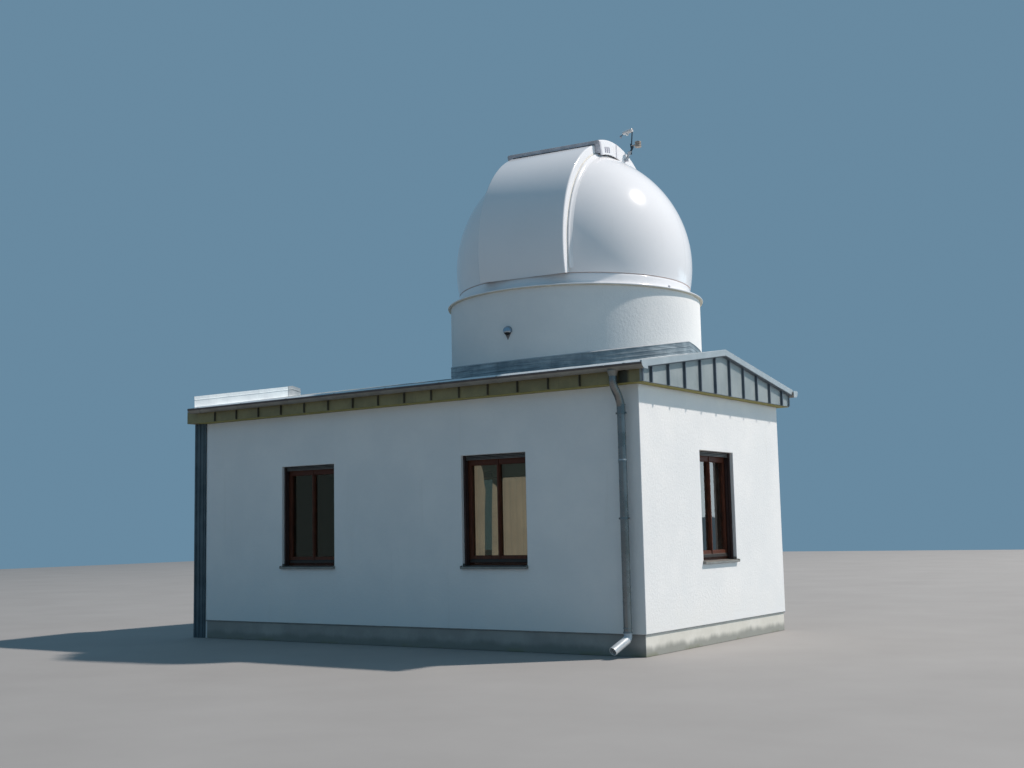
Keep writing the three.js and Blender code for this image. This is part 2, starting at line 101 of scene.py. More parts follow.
class Finish:
    # One material: its node tree, and short ways to the nodes that the finishes use
    def __init__(self, name):
        self.material = bpy.data.materials.new(name)
        self.material.use_nodes = True
        self.tree = self.material.node_tree
        self.shader = self.tree.nodes["Principled BSDF"]
        self.out = self.tree.nodes["Material Output"]

    def node(self, kind, settings=None, inputs=None, output=0):
        made = self.tree.nodes.new(kind)
        for key, value in (settings or {}).items():
            if key == "stops":  # two of them, as many as a new ramp has
                for element, (position, colour) in zip(made.color_ramp.elements, value):
                    element.position = position
                    element.color = (*colour, 1)
            else:
                setattr(made, key, value)
        for key, value in (inputs or {}).items():
            self.feed(made.inputs[key], value)
        return Value(self, made.outputs[output])

    def feed(self, socket, value):
        if isinstance(value, Value):
            self.tree.links.new(value.socket, socket)
        else:
            socket.default_value = (*value, 1) if socket.type == "RGBA" else value

    def surface(self, inputs):
        for key, value in inputs.items():
            self.feed(self.shader.inputs[key], value)
        return self.material

    def place(self):
        return self.node("ShaderNodeTexCoord", output="Object")

    def stretched(self, at, scale):
        return self.node("ShaderNodeVectorMath", {"operation": "MULTIPLY"}, {0: at, 1: scale})

    def axis(self, at, name):
        return self.node("ShaderNodeSeparateXYZ", {}, {0: at}, output=name)

    def noise(self, at, scale, detail=3, rough=0.5):
        return self.node("ShaderNodeTexNoise", {}, {
            "Vector": at, "Scale": scale, "Detail": detail, "Roughness": rough,
        })

    def ramp(self, value, stops):
        return self.node("ShaderNodeValToRGB", {"stops": stops}, {0: value})

    def fade(self, value, low, high):
        return self.node("ShaderNodeMapRange", {"interpolation_type": "SMOOTHSTEP"}, {
            "Value": value, "From Min": low, "From Max": high,
        })

    def mix(self, factor, first, second):
        return self.node("ShaderNodeMix", {"data_type": "RGBA"}, {0: factor, 6: first, 7: second}, output=2)

    def bump(self, height, strength, distance):
        return self.node("ShaderNodeBump", {}, {"Strength": strength, "Distance": distance, "Height": height})


# Shapes are (points, faces) pairs


def loft(rings, closed=False):
    count = len(rings[0])
    points = [point for ring in rings for point in ring]
    faces = []
    for r in range(len(rings) if closed else len(rings) - 1):
        here, after = r * count, (r + 1) % len(rings) * count
        faces += [(here + i, here + (i + 1) % count, after + (i + 1) % count, after + i) for i in range(count)]
    if not closed:
        faces += [tuple(range(count)), tuple(len(points) - 1 - i for i in range(count))]
    return points, faces


def prism(outline, axis, ends):
    # An outline in (y, z) run along x, in (x, z) along y, or in (x, y) along z
    put = {
        "x": lambda u, v, w: (w, u, v),
        "y": lambda u, v, w: (u, w, v),
        "z": lambda u, v, w: (u, v, w),
    }[axis]
    return loft([[put(u, v, w) for u, v in outline] for w in ends])


def rectangle(x, y):
    return [(x[0], y[0]), (x[1], y[0]), (x[1], y[1]), (x[0], y[1])]


def box(x, y, z):
    return prism(rectangle(x, y), "z", z)


def oneSide(side, near, far):
    # Two distances from the middle, put on one side of it in rising order
    return sorted((side * near, side * far))


def merged(shapes):
    points, faces = [], []
    for shapePoints, shapeFaces in shapes:
        start = len(points)
        points += shapePoints
        faces += [tuple(start + i for i in face) for face in shapeFaces]
    return points, faces


def moved(shape, matrix):
    return [tuple(matrix @ Vector(point)) for point in shape[0]], shape[1]


def mirrored(shape, about=0):
    return [(2 * about - x, y, z) for x, y, z in shape[0]], shape[1]


def turned(profile, steps):
    # A closed profile of (radius, height) turned about Z
    rings = []
    for i in range(steps):
        angle = math.radians(360 * i / steps)
        rings.append([(r * math.cos(angle), r * math.sin(angle), h) for r, h in profile])
    return loft(rings, closed=True)


hoopStep = {"long": 1.5, "cover": 1, "short": 0.5, "thin": 0.2}  # degrees for each step of a hoop


def hooped(profile, ends, kind="long"):
    # A closed profile of (across, radius) swept about the dome's cross axis, from the front horizon up
    steps = max(2, round((ends[1] - ends[0]) / hoopStep[kind]))
    rings = []
    for i in range(steps + 1):
        angle = math.radians(ends[0] + (ends[1] - ends[0]) * i / steps)
        rings.append([(a, -r * math.cos(angle), r * math.sin(angle)) for a, r in profile])
    return loft(rings)


def arc(centre, radius, start, end, steps):
    angles = [math.radians(start + (end - start) * i / steps) for i in range(steps + 1)]
    return [(centre[0] + radius * math.cos(a), centre[1] + radius * math.sin(a)) for a in angles]


def folded(path, thickness):
    # The closed outline of a sheet that follows a path of 2D points
    sides = ([], [])
    for i, point in enumerate(path):
        before, after = Vector(path[max(i - 1, 0)]), Vector(path[min(i + 1, len(path) - 1)])
        along = (after - before).normalized()
        out = Vector((-along.y, along.x)) * thickness / 2
        sides[0].append(tuple(Vector(point) + out))
        sides[1].append(tuple(Vector(point) - out))
    return sides[0] + sides[1][::-1]


def roundedPath(points, radius, steps=12):
    points = [Vector(point) for point in points]
    path = [points[0]]
    for before, corner, after in zip(points, points[1:], points[2:]):
        reach = min(radius, (before - corner).length * 0.48, (after - corner).length * 0.48)
        start = corner + (before - corner).normalized() * reach
        end = corner + (after - corner).normalized() * reach
        for i in range(steps + 1):
            t = i / steps
            path.append(start * (1 - t) ** 2 + corner * 2 * t * (1 - t) + end * t ** 2)
    return path + [points[-1]]


barSides = {"wire": 12, "screw": 10, "bolt": 6}


def tube(path, radius, sides):
    # A round bar along a path of 3D points; radius is a number or one for each point
    path = [Vector(point) for point in path]
    radii = radius if hasattr(radius, "__len__") else [radius] * len(path)
    along = (path[1] - path[0]).normalized()
    across = along.orthogonal().normalized()
    rings = []
    for i, point in enumerate(path):
        ahead = (path[min(i + 1, len(path) - 1)] - path[max(i - 1, 0)]).normalized()
        across = (along.rotation_difference(ahead) @ across).normalized()
        along = ahead
        other = along.cross(across)
        ring = []
        for s in range(sides):
            angle = 2 * math.pi * s / sides
            ring.append(tuple(point + (across * math.cos(angle) + other * math.sin(angle)) * radii[i]))
        rings.append(ring)
    return loft(rings)


# Pieces

meshCare = {"samePoint": 1e-6, "noLength": 1e-7, "weld": 0.00005, "sharpAngle": 32, "bevelAngle": 35}


def rawObject(shape):
    mesh = bpy.data.meshes.new("raw")
    mesh.from_pydata(shape[0], [], shape[1])
    work = bmesh.new()
    work.from_mesh(mesh)
    bmesh.ops.remove_doubles(work, verts=work.verts, dist=meshCare["samePoint"])
    bmesh.ops.dissolve_degenerate(work, edges=work.edges, dist=meshCare["noLength"])
    bmesh.ops.recalc_face_normals(work, faces=work.faces)
    work.to_mesh(mesh)
    work.free()
    raw = bpy.data.objects.new("raw", mesh)
    bpy.context.scene.collection.objects.link(raw)
    return raw


def carved(shape, cutters):
    body, tool = rawObject(shape), rawObject(cutters)
    change = body.modifiers.new("carve", "BOOLEAN")
    change.operation = "DIFFERENCE"
    change.solver = "EXACT"
    change.object = tool
    bpy.context.view_layer.update()
    result = body.evaluated_get(bpy.context.evaluated_depsgraph_get()).to_mesh()
    made = [tuple(v.co) for v in result.vertices], [tuple(p.vertices) for p in result.polygons]
    for used in (body, tool):
        bpy.data.objects.remove(used)
    return made


def makePiece(name, shape, finish, slot, body="house", bevel=0, segments=2, place=None, replaces=()):
    piece = rawObject(shape)
    piece.name = name
    piece.data.name = name
    piece.data.materials.append(look[finish])
    piece.data.polygons.foreach_set("use_smooth", [True] * len(piece.data.polygons))
    if place is not None:
        piece.matrix_world = place
    if bevel:
        soften(piece, bevel, segments)
    else:
        piece.data.set_sharp_from_angle(angle=math.radians(meshCare["sharpAngle"]))
    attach(piece, body)
    if replaces:
        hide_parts(*replaces)
    return piece


def soften(piece, width, segments=2):
    edges = piece.modifiers.new("softEdges", "BEVEL")
    edges.width = width
    edges.segments = segments
    edges.limit_method = "ANGLE"
    edges.angle_limit = math.radians(meshCare["bevelAngle"])
    edges.harden_normals = True


def dress(name, finish, bevel=0):
    # A solid that stays as it is, with its own finish
    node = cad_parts[name]
    node.data.materials.clear()
    node.data.materials.append(look[finish])
    if bevel:
        weld = node.modifiers.new("weld", "WELD")
        weld.merge_threshold = meshCare["weld"]
        soften(node, bevel)


# Finishes

renderCoat = {
    "colour": (0.79, 0.80, 0.79), "shade": (0.73, 0.75, 0.75), "dust": (0.62, 0.62, 0.58),
    "grain": 330, "grit": 120, "trowel": 30, "depth": 0.0035, "splash": (0.2, 0.75),
}


def whiteRender():
    f = Finish("whiteRender")
    at = f.place()
    grain = f.noise(at, renderCoat["grain"], 2, 0.6)
    grit = f.noise(at, renderCoat["grit"], 3, 0.65)
    patches = f.noise(at, 1.3, 5, 0.6)
    streaks = f.noise(f.stretched(at, (5, 5, 0.35)), 1.6, 4, 0.6)
    colour = f.mix(f.fade(patches, 0.35, 0.7), renderCoat["shade"], renderCoat["colour"])
    colour = f.mix(f.fade(streaks, 0.62, 0.8) * 0.25, colour, renderCoat["dust"])
    colour = f.mix(f.fade(grain, 0.35, 0.7) * 0.12, colour, renderCoat["dust"])
    splash = (1 - f.fade(f.axis(at, "Z"), *renderCoat["splash"])) * f.fade(patches, 0.4, 0.65)
    colour = f.mix(splash * 0.22, colour, renderCoat["dust"])
    trowel = f.noise(at, renderCoat["trowel"], 4, 0.65)
    height = grain * 0.15 + grit * 0.35 + trowel * 1.8
    return f.surface({
        "Base Color": colour, "Roughness": 0.92, "Specular IOR Level": 0.25,
        "Normal": f.bump(height, 0.55, renderCoat["depth"]),
    })


plinthCoat = {
    "colour": (0.30, 0.29, 0.27), "light": (0.38, 0.365, 0.34), "damp": (0.17, 0.18, 0.16),
    "moss": (0.17, 0.18, 0.11), "gableEnd": (0.60, 0.59, 0.53), "gableEndLight": (0.68, 0.67, 0.61),
    "gableEndFrom": (1.845, 1.852), "dampTop": (-0.03, 0.05), "mossTop": (0.0, 0.06),
}


def greyPlinth():
    f = Finish("greyPlinth")
    at = f.place()
    patches = f.noise(at, 2.1, 6, 0.62)
    grit = f.noise(at, 150, 3, 0.6)
    height = f.axis(at, "Z")
    blotch = f.fade(patches, 0.36, 0.66)
    colour = f.mix(blotch, plinthCoat["colour"], plinthCoat["light"])
    gableEnd = f.mix(blotch, plinthCoat["gableEnd"], plinthCoat["gableEndLight"])  # lighter from the gable's corner on
    colour = f.mix(f.fade(f.axis(at, "X"), *plinthCoat["gableEndFrom"]), colour, gableEnd)
    tide = f.noise(f.stretched(at, (1, 1, 0.3)), 3.2, 5, 0.6) * 0.16
    damp = 1 - f.fade(height - tide, *plinthCoat["dampTop"])
    colour = f.mix(damp * 0.75, colour, plinthCoat["damp"])
    moss = (1 - f.fade(height, *plinthCoat["mossTop"])) * f.fade(patches, 0.48, 0.6)
    colour = f.mix(moss * 0.7, colour, plinthCoat["moss"])
    colour = f.mix(f.fade(grit, 0.55, 0.8) * 0.3, colour, plinthCoat["damp"])
    return f.surface({
        "Base Color": colour, "Roughness": 0.9 - damp * 0.25, "Normal": f.bump(grit, 0.6, 0.002),
    })


concreteTone = {"dark": (0.33, 0.33, 0.32), "light": (0.45, 0.45, 0.43), "pore": (0.22, 0.22, 0.21)}


def rawConcrete():
    f = Finish("rawConcrete")
    at = f.place()
    patches = f.noise(at, 1.7, 6, 0.6)
    pores = f.node("ShaderNodeTexVoronoi", {}, {"Vector": at, "Scale": 90})
    colour = f.ramp(patches, [(0.3, concreteTone["dark"]), (0.7, concreteTone["light"])])
    colour = f.mix(pores < 0.08, colour, concreteTone["pore"])
    return f.surface({"Base Color": colour, "Roughness": 0.88, "Normal": f.bump(pores, 0.3, 0.001)})


# Weathered sheet zinc: dark, light and stained tone, metallic share, roughness, and marks of its own
zincTones = {
    "sheetZinc": ((0.29, 0.33, 0.35), (0.38, 0.42, 0.44), (0.24, 0.26, 0.25), 0.4, 0.45, {}),
    "fasciaZinc": ((0.20, 0.175, 0.085), (0.29, 0.26, 0.13), (0.14, 0.125, 0.065), 0.15, 0.5, {"darkPatchAt": 1.768}),
    "panelZinc": ((0.25, 0.29, 0.295), (0.315, 0.36, 0.365), (0.21, 0.24, 0.24), 0.2, 0.48, {}),
    "trimZinc": ((0.32, 0.375, 0.40), (0.38, 0.44, 0.47), (0.27, 0.32, 0.34), 0.15, 0.4, {}),
    "flashingZinc": ((0.55, 0.62, 0.655), (0.64, 0.72, 0.75), (0.48, 0.53, 0.55), 0.1, 0.4, {}),
    # the gutter's rolled bead: dark brown, partly as rust and partly as painted shade under the drip strip
    "beadZincRustAndShade": ((0.080, 0.068, 0.068), (0.125, 0.108, 0.104), (0.06, 0.05, 0.045), 0.2, 0.5, {}),
    "foldZinc": ((0.060, 0.056, 0.036), (0.10, 0.094, 0.06), (0.05, 0.045, 0.03), 0.15, 0.5, {}),
    "dripZinc": ((0.62, 0.68, 0.71), (0.72, 0.78, 0.80), (0.50, 0.55, 0.57), 0.1, 0.4, {}),
    # painted shade: this dark zinc paints the shaded sides of the cladding's seams, the shade line at the cladding's
    # foot and the shade under the verge trim
    "seamZincPaintedShade": ((0.10, 0.13, 0.16), (0.16, 0.19, 0.22), (0.08, 0.09, 0.10), 0.3, 0.5, {}),
    "stripZinc": ((0.055, 0.085, 0.10), (0.10, 0.14, 0.16), (0.04, 0.05, 0.05), 0.3, 0.5, {}),
    "collarZinc": ((0.20, 0.25, 0.28), (0.44, 0.51, 0.545), (0.11, 0.145, 0.17), 0.25, 0.42, {"streaks": 0.6}),
    "gutterZinc": ((0.23, 0.215, 0.185), (0.33, 0.315, 0.28), (0.16, 0.15, 0.12), 0.3, 0.42, {}),
    "pipeZinc": (
        (0.17, 0.195, 0.19), (0.29, 0.33, 0.34), (0.17, 0.15, 0.09), 0.8, 0.2, {"paintedReflection": (0.225, 0.20, 0.19)},
    ),
    "elbowZinc": ((0.36, 0.44, 0.50), (0.48, 0.56, 0.62), (0.28, 0.33, 0.36), 0.4, 0.3, {}),
    "brightZinc": ((0.66, 0.70, 0.71), (0.80, 0.83, 0.84), (0.50, 0.53, 0.53), 0.5, 0.25, {}),
}


def zinc(name):
    dark, light, stain, metal, rough, marks = zincTones[name]
    f = Finish(name)
    at = f.place()
    spangle = f.node("ShaderNodeTexVoronoi", {}, {"Vector": at, "Scale": 70}, output="Color")
    cloud = f.noise(at, 3.4, 6, 0.65)
    runs = f.noise(f.stretched(at, (9, 9, 0.8)), 1.5, 4, 0.6)
    dents = f.noise(at, 5, 2, 0.4)
    colour = f.mix(f.fade(cloud, 0.33, 0.68), dark, light)
    colour = f.mix(f.axis(spangle, "X") * 0.2, colour, dark)
    colour = f.mix(f.fade(runs, 0.56, 0.78) * 0.45, colour, stain)
    if "streaks" in marks:
        layers = f.noise(f.stretched(at, (1.2, 1.2, 26)), 1.6, 4, 0.6)
        colour = f.mix(f.fade(layers, 0.42, 0.66) * marks["streaks"], colour, stain)
    if "darkPatchAt" in marks:  # a dark patch beside the gutter's outlet
        apart = f.node("ShaderNodeMath", {"operation": "ABSOLUTE"}, {0: f.axis(at, "X") - marks["darkPatchAt"]})
        damp = 1 - f.fade(apart + cloud * 0.03, 0.05, 0.105)
        colour = f.mix(damp * 0.9, colour, (0.02, 0.025, 0.02))
    if "paintedReflection" in marks:  # painted reflection: browner on the side turned away from the gable
        facing = f.node("ShaderNodeNewGeometry", output="Normal")
        away = 1 - f.fade(f.axis(facing, "X") + cloud * 0.1, 0.45, 0.75)
        colour = f.mix(away * 0.6, colour, marks["paintedReflection"])
    return f.surface({
        "Base Color": colour, "Metallic": metal, "Roughness": rough + f.fade(cloud, 0.3, 0.7) * 0.14,
        "Normal": f.bump(dents, 0.2, 0.003),
    })


gelcoatLook = {
    "colour": (0.785, 0.795, 0.81), "chalk": (0.74, 0.75, 0.765), "grime": (0.50, 0.49, 0.46),
    "joint": (0.0035, 0.0077), "rough": 0.105,
}


def gelcoat(name, joints=False):
    f = Finish(name)
    at = f.place()
    waves = f.noise(at, 1.5, 1, 0.4)
    chalk = f.noise(at, 1.1, 5, 0.62)
    runs = f.noise(f.stretched(at, (7, 7, 0.7)), 1.2, 4, 0.6)
    colour = f.mix(f.fade(chalk, 0.4, 0.7) * 0.5, gelcoatLook["colour"], gelcoatLook["chalk"])
    colour = f.mix(f.fade(runs, 0.6, 0.8) * 0.12, colour, gelcoatLook["grime"])
    height = waves * 0.9
    if joints:  # upright panel joints every quarter turn from the slit
        angle = f.node("ShaderNodeMath", {"operation": "ARCTAN2"}, {0: f.axis(at, "Y"), 1: f.axis(at, "X")})
        quarters = (angle + math.pi) * (2 / math.pi)
        toJoint = f.node("ShaderNodeMath", {"operation": "PINGPONG"}, {0: quarters, 1: 0.5})
        flat = f.stretched(at, (1, 1, 0))
        reach = f.node("ShaderNodeVectorMath", {"operation": "LENGTH"}, {0: flat}, output="Value")
        joint = 1 - f.fade(toJoint * reach * (math.pi / 2), *gelcoatLook["joint"])
        colour = f.mix(joint * 0.3, colour, gelcoatLook["grime"])
        height = height - joint * 0.5
    return f.surface({
        "Base Color": colour, "Roughness": gelcoatLook["rough"] + f.fade(chalk, 0.4, 0.75) * 0.06,
        "Specular IOR Level": 0.3, "Normal": f.bump(height, 0.2, 0.004),
    })


woodTone = {"dark": (0.045, 0.014, 0.007), "light": (0.14, 0.042, 0.021)}


def brownJoinery():
    f = Finish("brownJoinery")
    at = f.place()
    grain = f.noise(f.stretched(at, (60, 60, 3)), 2.4, 5, 0.65)
    cloud = f.noise(at, 6, 3, 0.5)
    colour = f.mix(f.fade(grain, 0.35, 0.68), woodTone["dark"], woodTone["light"])
    colour = f.mix(f.fade(cloud, 0.5, 0.8) * 0.3, colour, woodTone["dark"])
    return f.surface({
        "Base Color": colour, "Roughness": 0.42 + grain * 0.15, "Specular IOR Level": 0.25,
        "Normal": f.bump(grain, 0.25, 0.0006),
    })


def satinMetal(name, colour, metal, rough, brush):
    f = Finish(name)
    at = f.place()
    lines = f.noise(f.stretched(at, brush), 8, 3, 0.6)
    cloud = f.noise(at, 7, 4, 0.6)
    deep = tuple(c * 0.72 for c in colour)
    return f.surface({
        "Base Color": f.mix(f.fade(cloud, 0.35, 0.7), deep, colour), "Metallic": metal,
        "Roughness": rough + lines * 0.14, "Normal": f.bump(lines, 0.12, 0.0005),
    })


def matt(name, colour, rough):
    f = Finish(name)
    at = f.place()
    fine = f.noise(at, 180, 3, 0.6)
    cloud = f.noise(at, 9, 4, 0.6)
    shade = f.mix(f.fade(cloud, 0.35, 0.7) * 0.5, colour, tuple(c * 0.65 for c in colour))
    return f.surface({
        "Base Color": shade, "Roughness": rough + fine * 0.15, "Normal": f.bump(fine, 0.25, 0.0006),
    })


glassLook = {
    "tint": (0.76, 0.78, 0.72), "film": (0.22, 0.22, 0.19), "twoPanes": 3.2, "ior": 1.52,
    # painted reflection: the glossy layer is tinted brown on the long walls and warm on the gable, colouring each
    # window by what it would mirror
    "longWallReflectionTint": (0.46, 0.32, 0.21), "gableReflectionTint": (0.74, 0.62, 0.55), "rough": 0.015,
}


def windowGlass(name, reflectionTint):
    f = Finish(name)
    at = f.place()
    ripple = f.noise(at, 1.6, 1, 0.4)
    dust = f.noise(at, 9, 5, 0.6)
    clear = f.node("ShaderNodeBsdfTransparent", {}, {"Color": glassLook["tint"]})
    # the reflection tint paints the colour of what the pane mirrors
    shine = f.node("ShaderNodeBsdfGlossy", {"distribution": "GGX"}, {
        "Color": reflectionTint, "Roughness": glassLook["rough"], "Normal": f.bump(ripple, 0.03, 0.01),
    })
    film = f.node("ShaderNodeBsdfDiffuse", {}, {"Color": glassLook["film"]})
    edge = f.node("ShaderNodeFresnel", {}, {"IOR": glassLook["ior"]})
    pane = f.node("ShaderNodeMixShader", {}, {0: edge * glassLook["twoPanes"], 1: clear, 2: shine})
    dusty = f.node("ShaderNodeMixShader", {}, {0: f.fade(dust, 0.45, 0.9) * 0.06 + 0.02, 1: pane, 2: film})
    f.feed(f.out.inputs["Surface"], dusty)
    f.tree.nodes.remove(f.shader)
    return f.material


clothTone = {
    "dark": (0.75, 0.61, 0.50), "light": (0.88, 0.73, 0.60), "thread": (0.50, 0.42, 0.29),
    "threads": 420, "paintedGlow": 0.33,
}


def curtainCloth():
    f = Finish("curtainCloth")
    at = f.place()
    weave, weft = (
        f.node("ShaderNodeTexWave", {"wave_type": "BANDS", "bands_direction": way}, {
            "Vector": at, "Scale": clothTone["threads"],
        }) for way in "XZ"
    )
    cloud = f.noise(at, 5, 4, 0.6)
    colour = f.ramp(cloud, [(0.3, clothTone["dark"]), (0.7, clothTone["light"])])
    colour = f.mix(weave * weft * 0.2, colour, clothTone["thread"])
    return f.surface({
        "Base Color": colour, "Roughness": 0.9, "Sheen Weight": 0.2,
        # painted light: the cloth glows in its own colour, standing in for light shining through it
        "Emission Color": colour, "Emission Strength": clothTone["paintedGlow"],
        "Normal": f.bump(weave + weft, 0.2, 0.0004),
    })


def soffitBoard():
    f = Finish("soffitBoard")
    at = f.place()
    grain = f.noise(f.stretched(at, (3, 40, 40)), 2.2, 5, 0.6)
    # the yellow-olive is partly the boards' own timber tone and partly painted light, the warm bounce from sunlit
    # ground below
    colour = f.ramp(grain, [(0.3, (0.27, 0.235, 0.06)), (0.7, (0.36, 0.32, 0.10))])
    return f.surface({"Base Color": colour, "Roughness": 0.7, "Normal": f.bump(grain, 0.3, 0.001)})


# Brushed or painted metal: name, colour, metallic share, roughness, and the scale of the brush lines
metals = {
    "guide": ("guideBrown", (0.050, 0.026, 0.024), 0.1, 0.5, (1, 1, 60)),
    "slat": ("slatBrown", (0.058, 0.050, 0.044), 0.2, 0.4, (60, 1, 60)),
    # painted highlight: a lighter finish on the slats' lower edges, for the light they catch
    "lip": ("slatLipHighlight", (0.20, 0.20, 0.19), 0.2, 0.4, (1, 60, 60)),
    "sill": ("sillAluminium", (0.27, 0.27, 0.25), 0.3, 0.36, (1, 60, 60)),
    "bead": ("beadAluminium", (0.30, 0.31, 0.30), 0.4, 0.45, (1, 60, 60)),
    # the deflector is near-black: partly its own dark tone, partly painted shade of the recess it sits in
    "deflector": ("deflectorMetal", (0.028, 0.022, 0.018), 0.2, 0.5, (1, 60, 60)),
    # rim: grey metal for the ring's clips and the mast's foot; on the upper cover's front rim and joint the grey
    # paints shade
    "rim": ("rimAluminiumAndPaintedShade", (0.60, 0.60, 0.64), 0.25, 0.42, (1, 40, 40)),
    "closer": ("closerPlate", (0.72, 0.70, 0.74), 0.1, 0.45, (1, 40, 40)),
    # painted shade: the cheek's ribs are darker to paint the shade of recesses there
    "cheek": ("cheekRecessShade", (0.34, 0.34, 0.41), 0.1, 0.5, (1, 40, 40)),
    "steel": ("stainless", (0.70, 0.71, 0.72), 1.0, 0.16, (1, 1, 30)),
    "mast": ("mastSteel", (0.045, 0.075, 0.105), 0.4, 0.42, (40, 40, 1)),
    "arm": ("armAluminium", (0.74, 0.73, 0.72), 0.1, 0.4, (1, 40, 40)),
    "bracket": ("bracketZinc", (0.62, 0.60, 0.60), 0.3, 0.4, (40, 40, 1)),
    "cowl": ("cowlSteel", (0.36, 0.44, 0.52), 1.0, 0.14, (1, 1, 30)),
}
# Rubber, plastic and sealant: name, colour and roughness
plastics = {
    "eye": ("eyePlastic", (0.32, 0.35, 0.40), 0.5),
    "rubber": ("blackRubber", (0.018, 0.018, 0.02), 0.7),
    "seal": ("creamSealant", (0.66, 0.62, 0.51), 0.6),
    "skirtSeal": ("paleSkirtSeal", (0.74, 0.72, 0.66), 0.6),
    "paleMastic": ("paleMastic", (0.40, 0.43, 0.45), 0.55),
    "brush": ("sealBrush", (0.55, 0.44, 0.41), 0.85),
    "ventDarkPlate": ("ventDarkPlate", (0.20, 0.18, 0.175), 0.6),
    "sensor": ("sensorPlastic", (0.36, 0.32, 0.28), 0.5),
    "sensorPale": ("sensorPale", (0.72, 0.72, 0.70), 0.45),
    "nylon": ("blackNylon", (0.03, 0.03, 0.032), 0.5),
}
look = {
    "render": whiteRender(), "plinth": greyPlinth(), "concrete": rawConcrete(),
    "gelcoat": gelcoat("gelcoat"), "shell": gelcoat("jointedGelcoat", True),
    "joinery": brownJoinery(), "curtain": curtainCloth(), "soffit": soffitBoard(),
    "glass": windowGlass("windowGlass", glassLook["longWallReflectionTint"]),
    "gableGlass": windowGlass("gableGlass", glassLook["gableReflectionTint"]),
    **{name: satinMetal(*metal) for name, metal in metals.items()},
    **{name: matt(*plastic) for name, plastic in plastics.items()},
    **{name: zinc(name) for name in zincTones},
}
print("finishes made:", len(look))

# Camera, floor and light

cameraSettings = {
    "at": (8.1475, -13.3312, 1.3260), "lens": 44.07, "yaw": 0.6007, "pitch": 0.1158, "roll": -0.021,
    "sensor": 36, "farthest": 400,
}


def makeCamera():
    data = bpy.data.cameras.new("camera")
    data.lens = cameraSettings["lens"]
    data.sensor_width = cameraSettings["sensor"]
    data.clip_end = cameraSettings["farthest"]
    camera = bpy.data.objects.new("camera", data)
    yaw, pitch, roll = (cameraSettings[key] for key in ("yaw", "pitch", "roll"))
    ahead = Vector((-math.sin(yaw) * math.cos(pitch), math.cos(yaw) * math.cos(pitch), math.sin(pitch)))
    right = Vector((math.cos(yaw), math.sin(yaw), 0))
    up = right.cross(ahead)
    tilted = right * math.cos(roll) + up * math.sin(roll)
    upright = up * math.cos(roll) - right * math.sin(roll)
    camera.matrix_world = Matrix.LocRotScale(
        Vector(cameraSettings["at"]), Matrix((tilted, upright, -ahead)).transposed(), None,
    )
    bpy.context.scene.collection.objects.link(camera)
    bpy.context.scene.camera = camera


studio = {
    "sky": (0.39, 0.71, 1.0), "skyStrength": 0.355, "floorHalf": 45, "floorZ": (-0.2, -0.0005),
    "floorDark": (0.285, 0.278, 0.268), "floorLight": (0.315, 0.308, 0.298),
}
# Each stands at a turn and a rise from what it is aimed at
lamps = {
    "key": {
        "turn": 42, "rise": 49.7, "distance": 120, "aim": (-1, 0, 2.5), "shape": "DISK", "size": (4, 4),
        "power": 193000, "colour": (1, 0.89, 0.82), "unseenBy": (),
    },
    "side": {  # its edges would show in the white gelcoat
        "turn": 33, "rise": 0, "distance": 42, "aim": (0, 0, 8.9), "shape": "RECTANGLE", "size": (60, 15),
        "power": 4800, "colour": (0.64, 0.86, 1), "unseenBy": ("glossy", "camera"),
    },
    "glassSide": {  # what the gable window mirrors
        "turn": 69, "rise": 0, "distance": 42, "aim": (0, 0, 5.2), "shape": "RECTANGLE", "size": (14, 7),
        "power": 480, "colour": (0.64, 0.86, 1), "unseenBy": ("diffuse", "camera"),
    },
}


def makeLamp(name, settings):
    data = bpy.data.lights.new(name, "AREA")
    data.shape = settings["shape"]
    data.size, data.size_y = settings["size"]
    data.energy = settings["power"]
    data.color = settings["colour"]
    turn, rise = math.radians(settings["turn"]), math.radians(settings["rise"])
    away = Vector((math.cos(turn) * math.cos(rise), math.sin(turn) * math.cos(rise), math.sin(rise)))
    lamp = bpy.data.objects.new(name, data)
    lamp.location = Vector(settings["aim"]) + away * settings["distance"]
    lamp.rotation_euler = away.to_track_quat("Z", "Y").to_euler()
    for ray in settings["unseenBy"]:
        setattr(lamp, f"visible_{ray}", False)
    bpy.context.scene.collection.objects.link(lamp)


def floorFinish():
    f = Finish("paleFloor")
    at = f.place()
    cloud = f.noise(at, 0.6, 5, 0.6)
    colour = f.ramp(cloud, [(0.3, studio["floorDark"]), (0.7, studio["floorLight"])])
    return f.surface({"Base Color": colour, "Roughness": 0.85, "Normal": f.bump(f.noise(at, 40, 3), 0.1, 0.002)})


def makeStudio():
    scene = bpy.context.scene
    world = bpy.data.worlds.new("studio")
    world.use_nodes = True
    backdrop = world.node_tree.nodes["Background"]
    backdrop.inputs["Color"].default_value = (*studio["sky"], 1)
    backdrop.inputs["Strength"].default_value = studio["skyStrength"]
    scene.world = world
    scene.view_settings.view_transform = "Standard"
    for name, settings in lamps.items():
        makeLamp(name, settings)
    half = studio["floorHalf"]
    floor = rawObject(box((-half, half), (-half, half), studio["floorZ"]))
    floor.name = "floor"
    floor.data.materials.append(floorFinish())


makeCamera()
makeStudio()
print("camera, floor and light set")

# Walls

wallCoat = {"arris": 0.007, "plinthArris": 0.006, "cutPast": 0.05, "underRoof": 0.001, "peakFoot": 2.8205}
# The thin metal bead at the foot of the render, where the plinth's slip coat ends
baseBead = {"z": (0.222, 0.23), "set": 0.004, "width": 0.014, "start": 0.212, "bevel": 0.001}


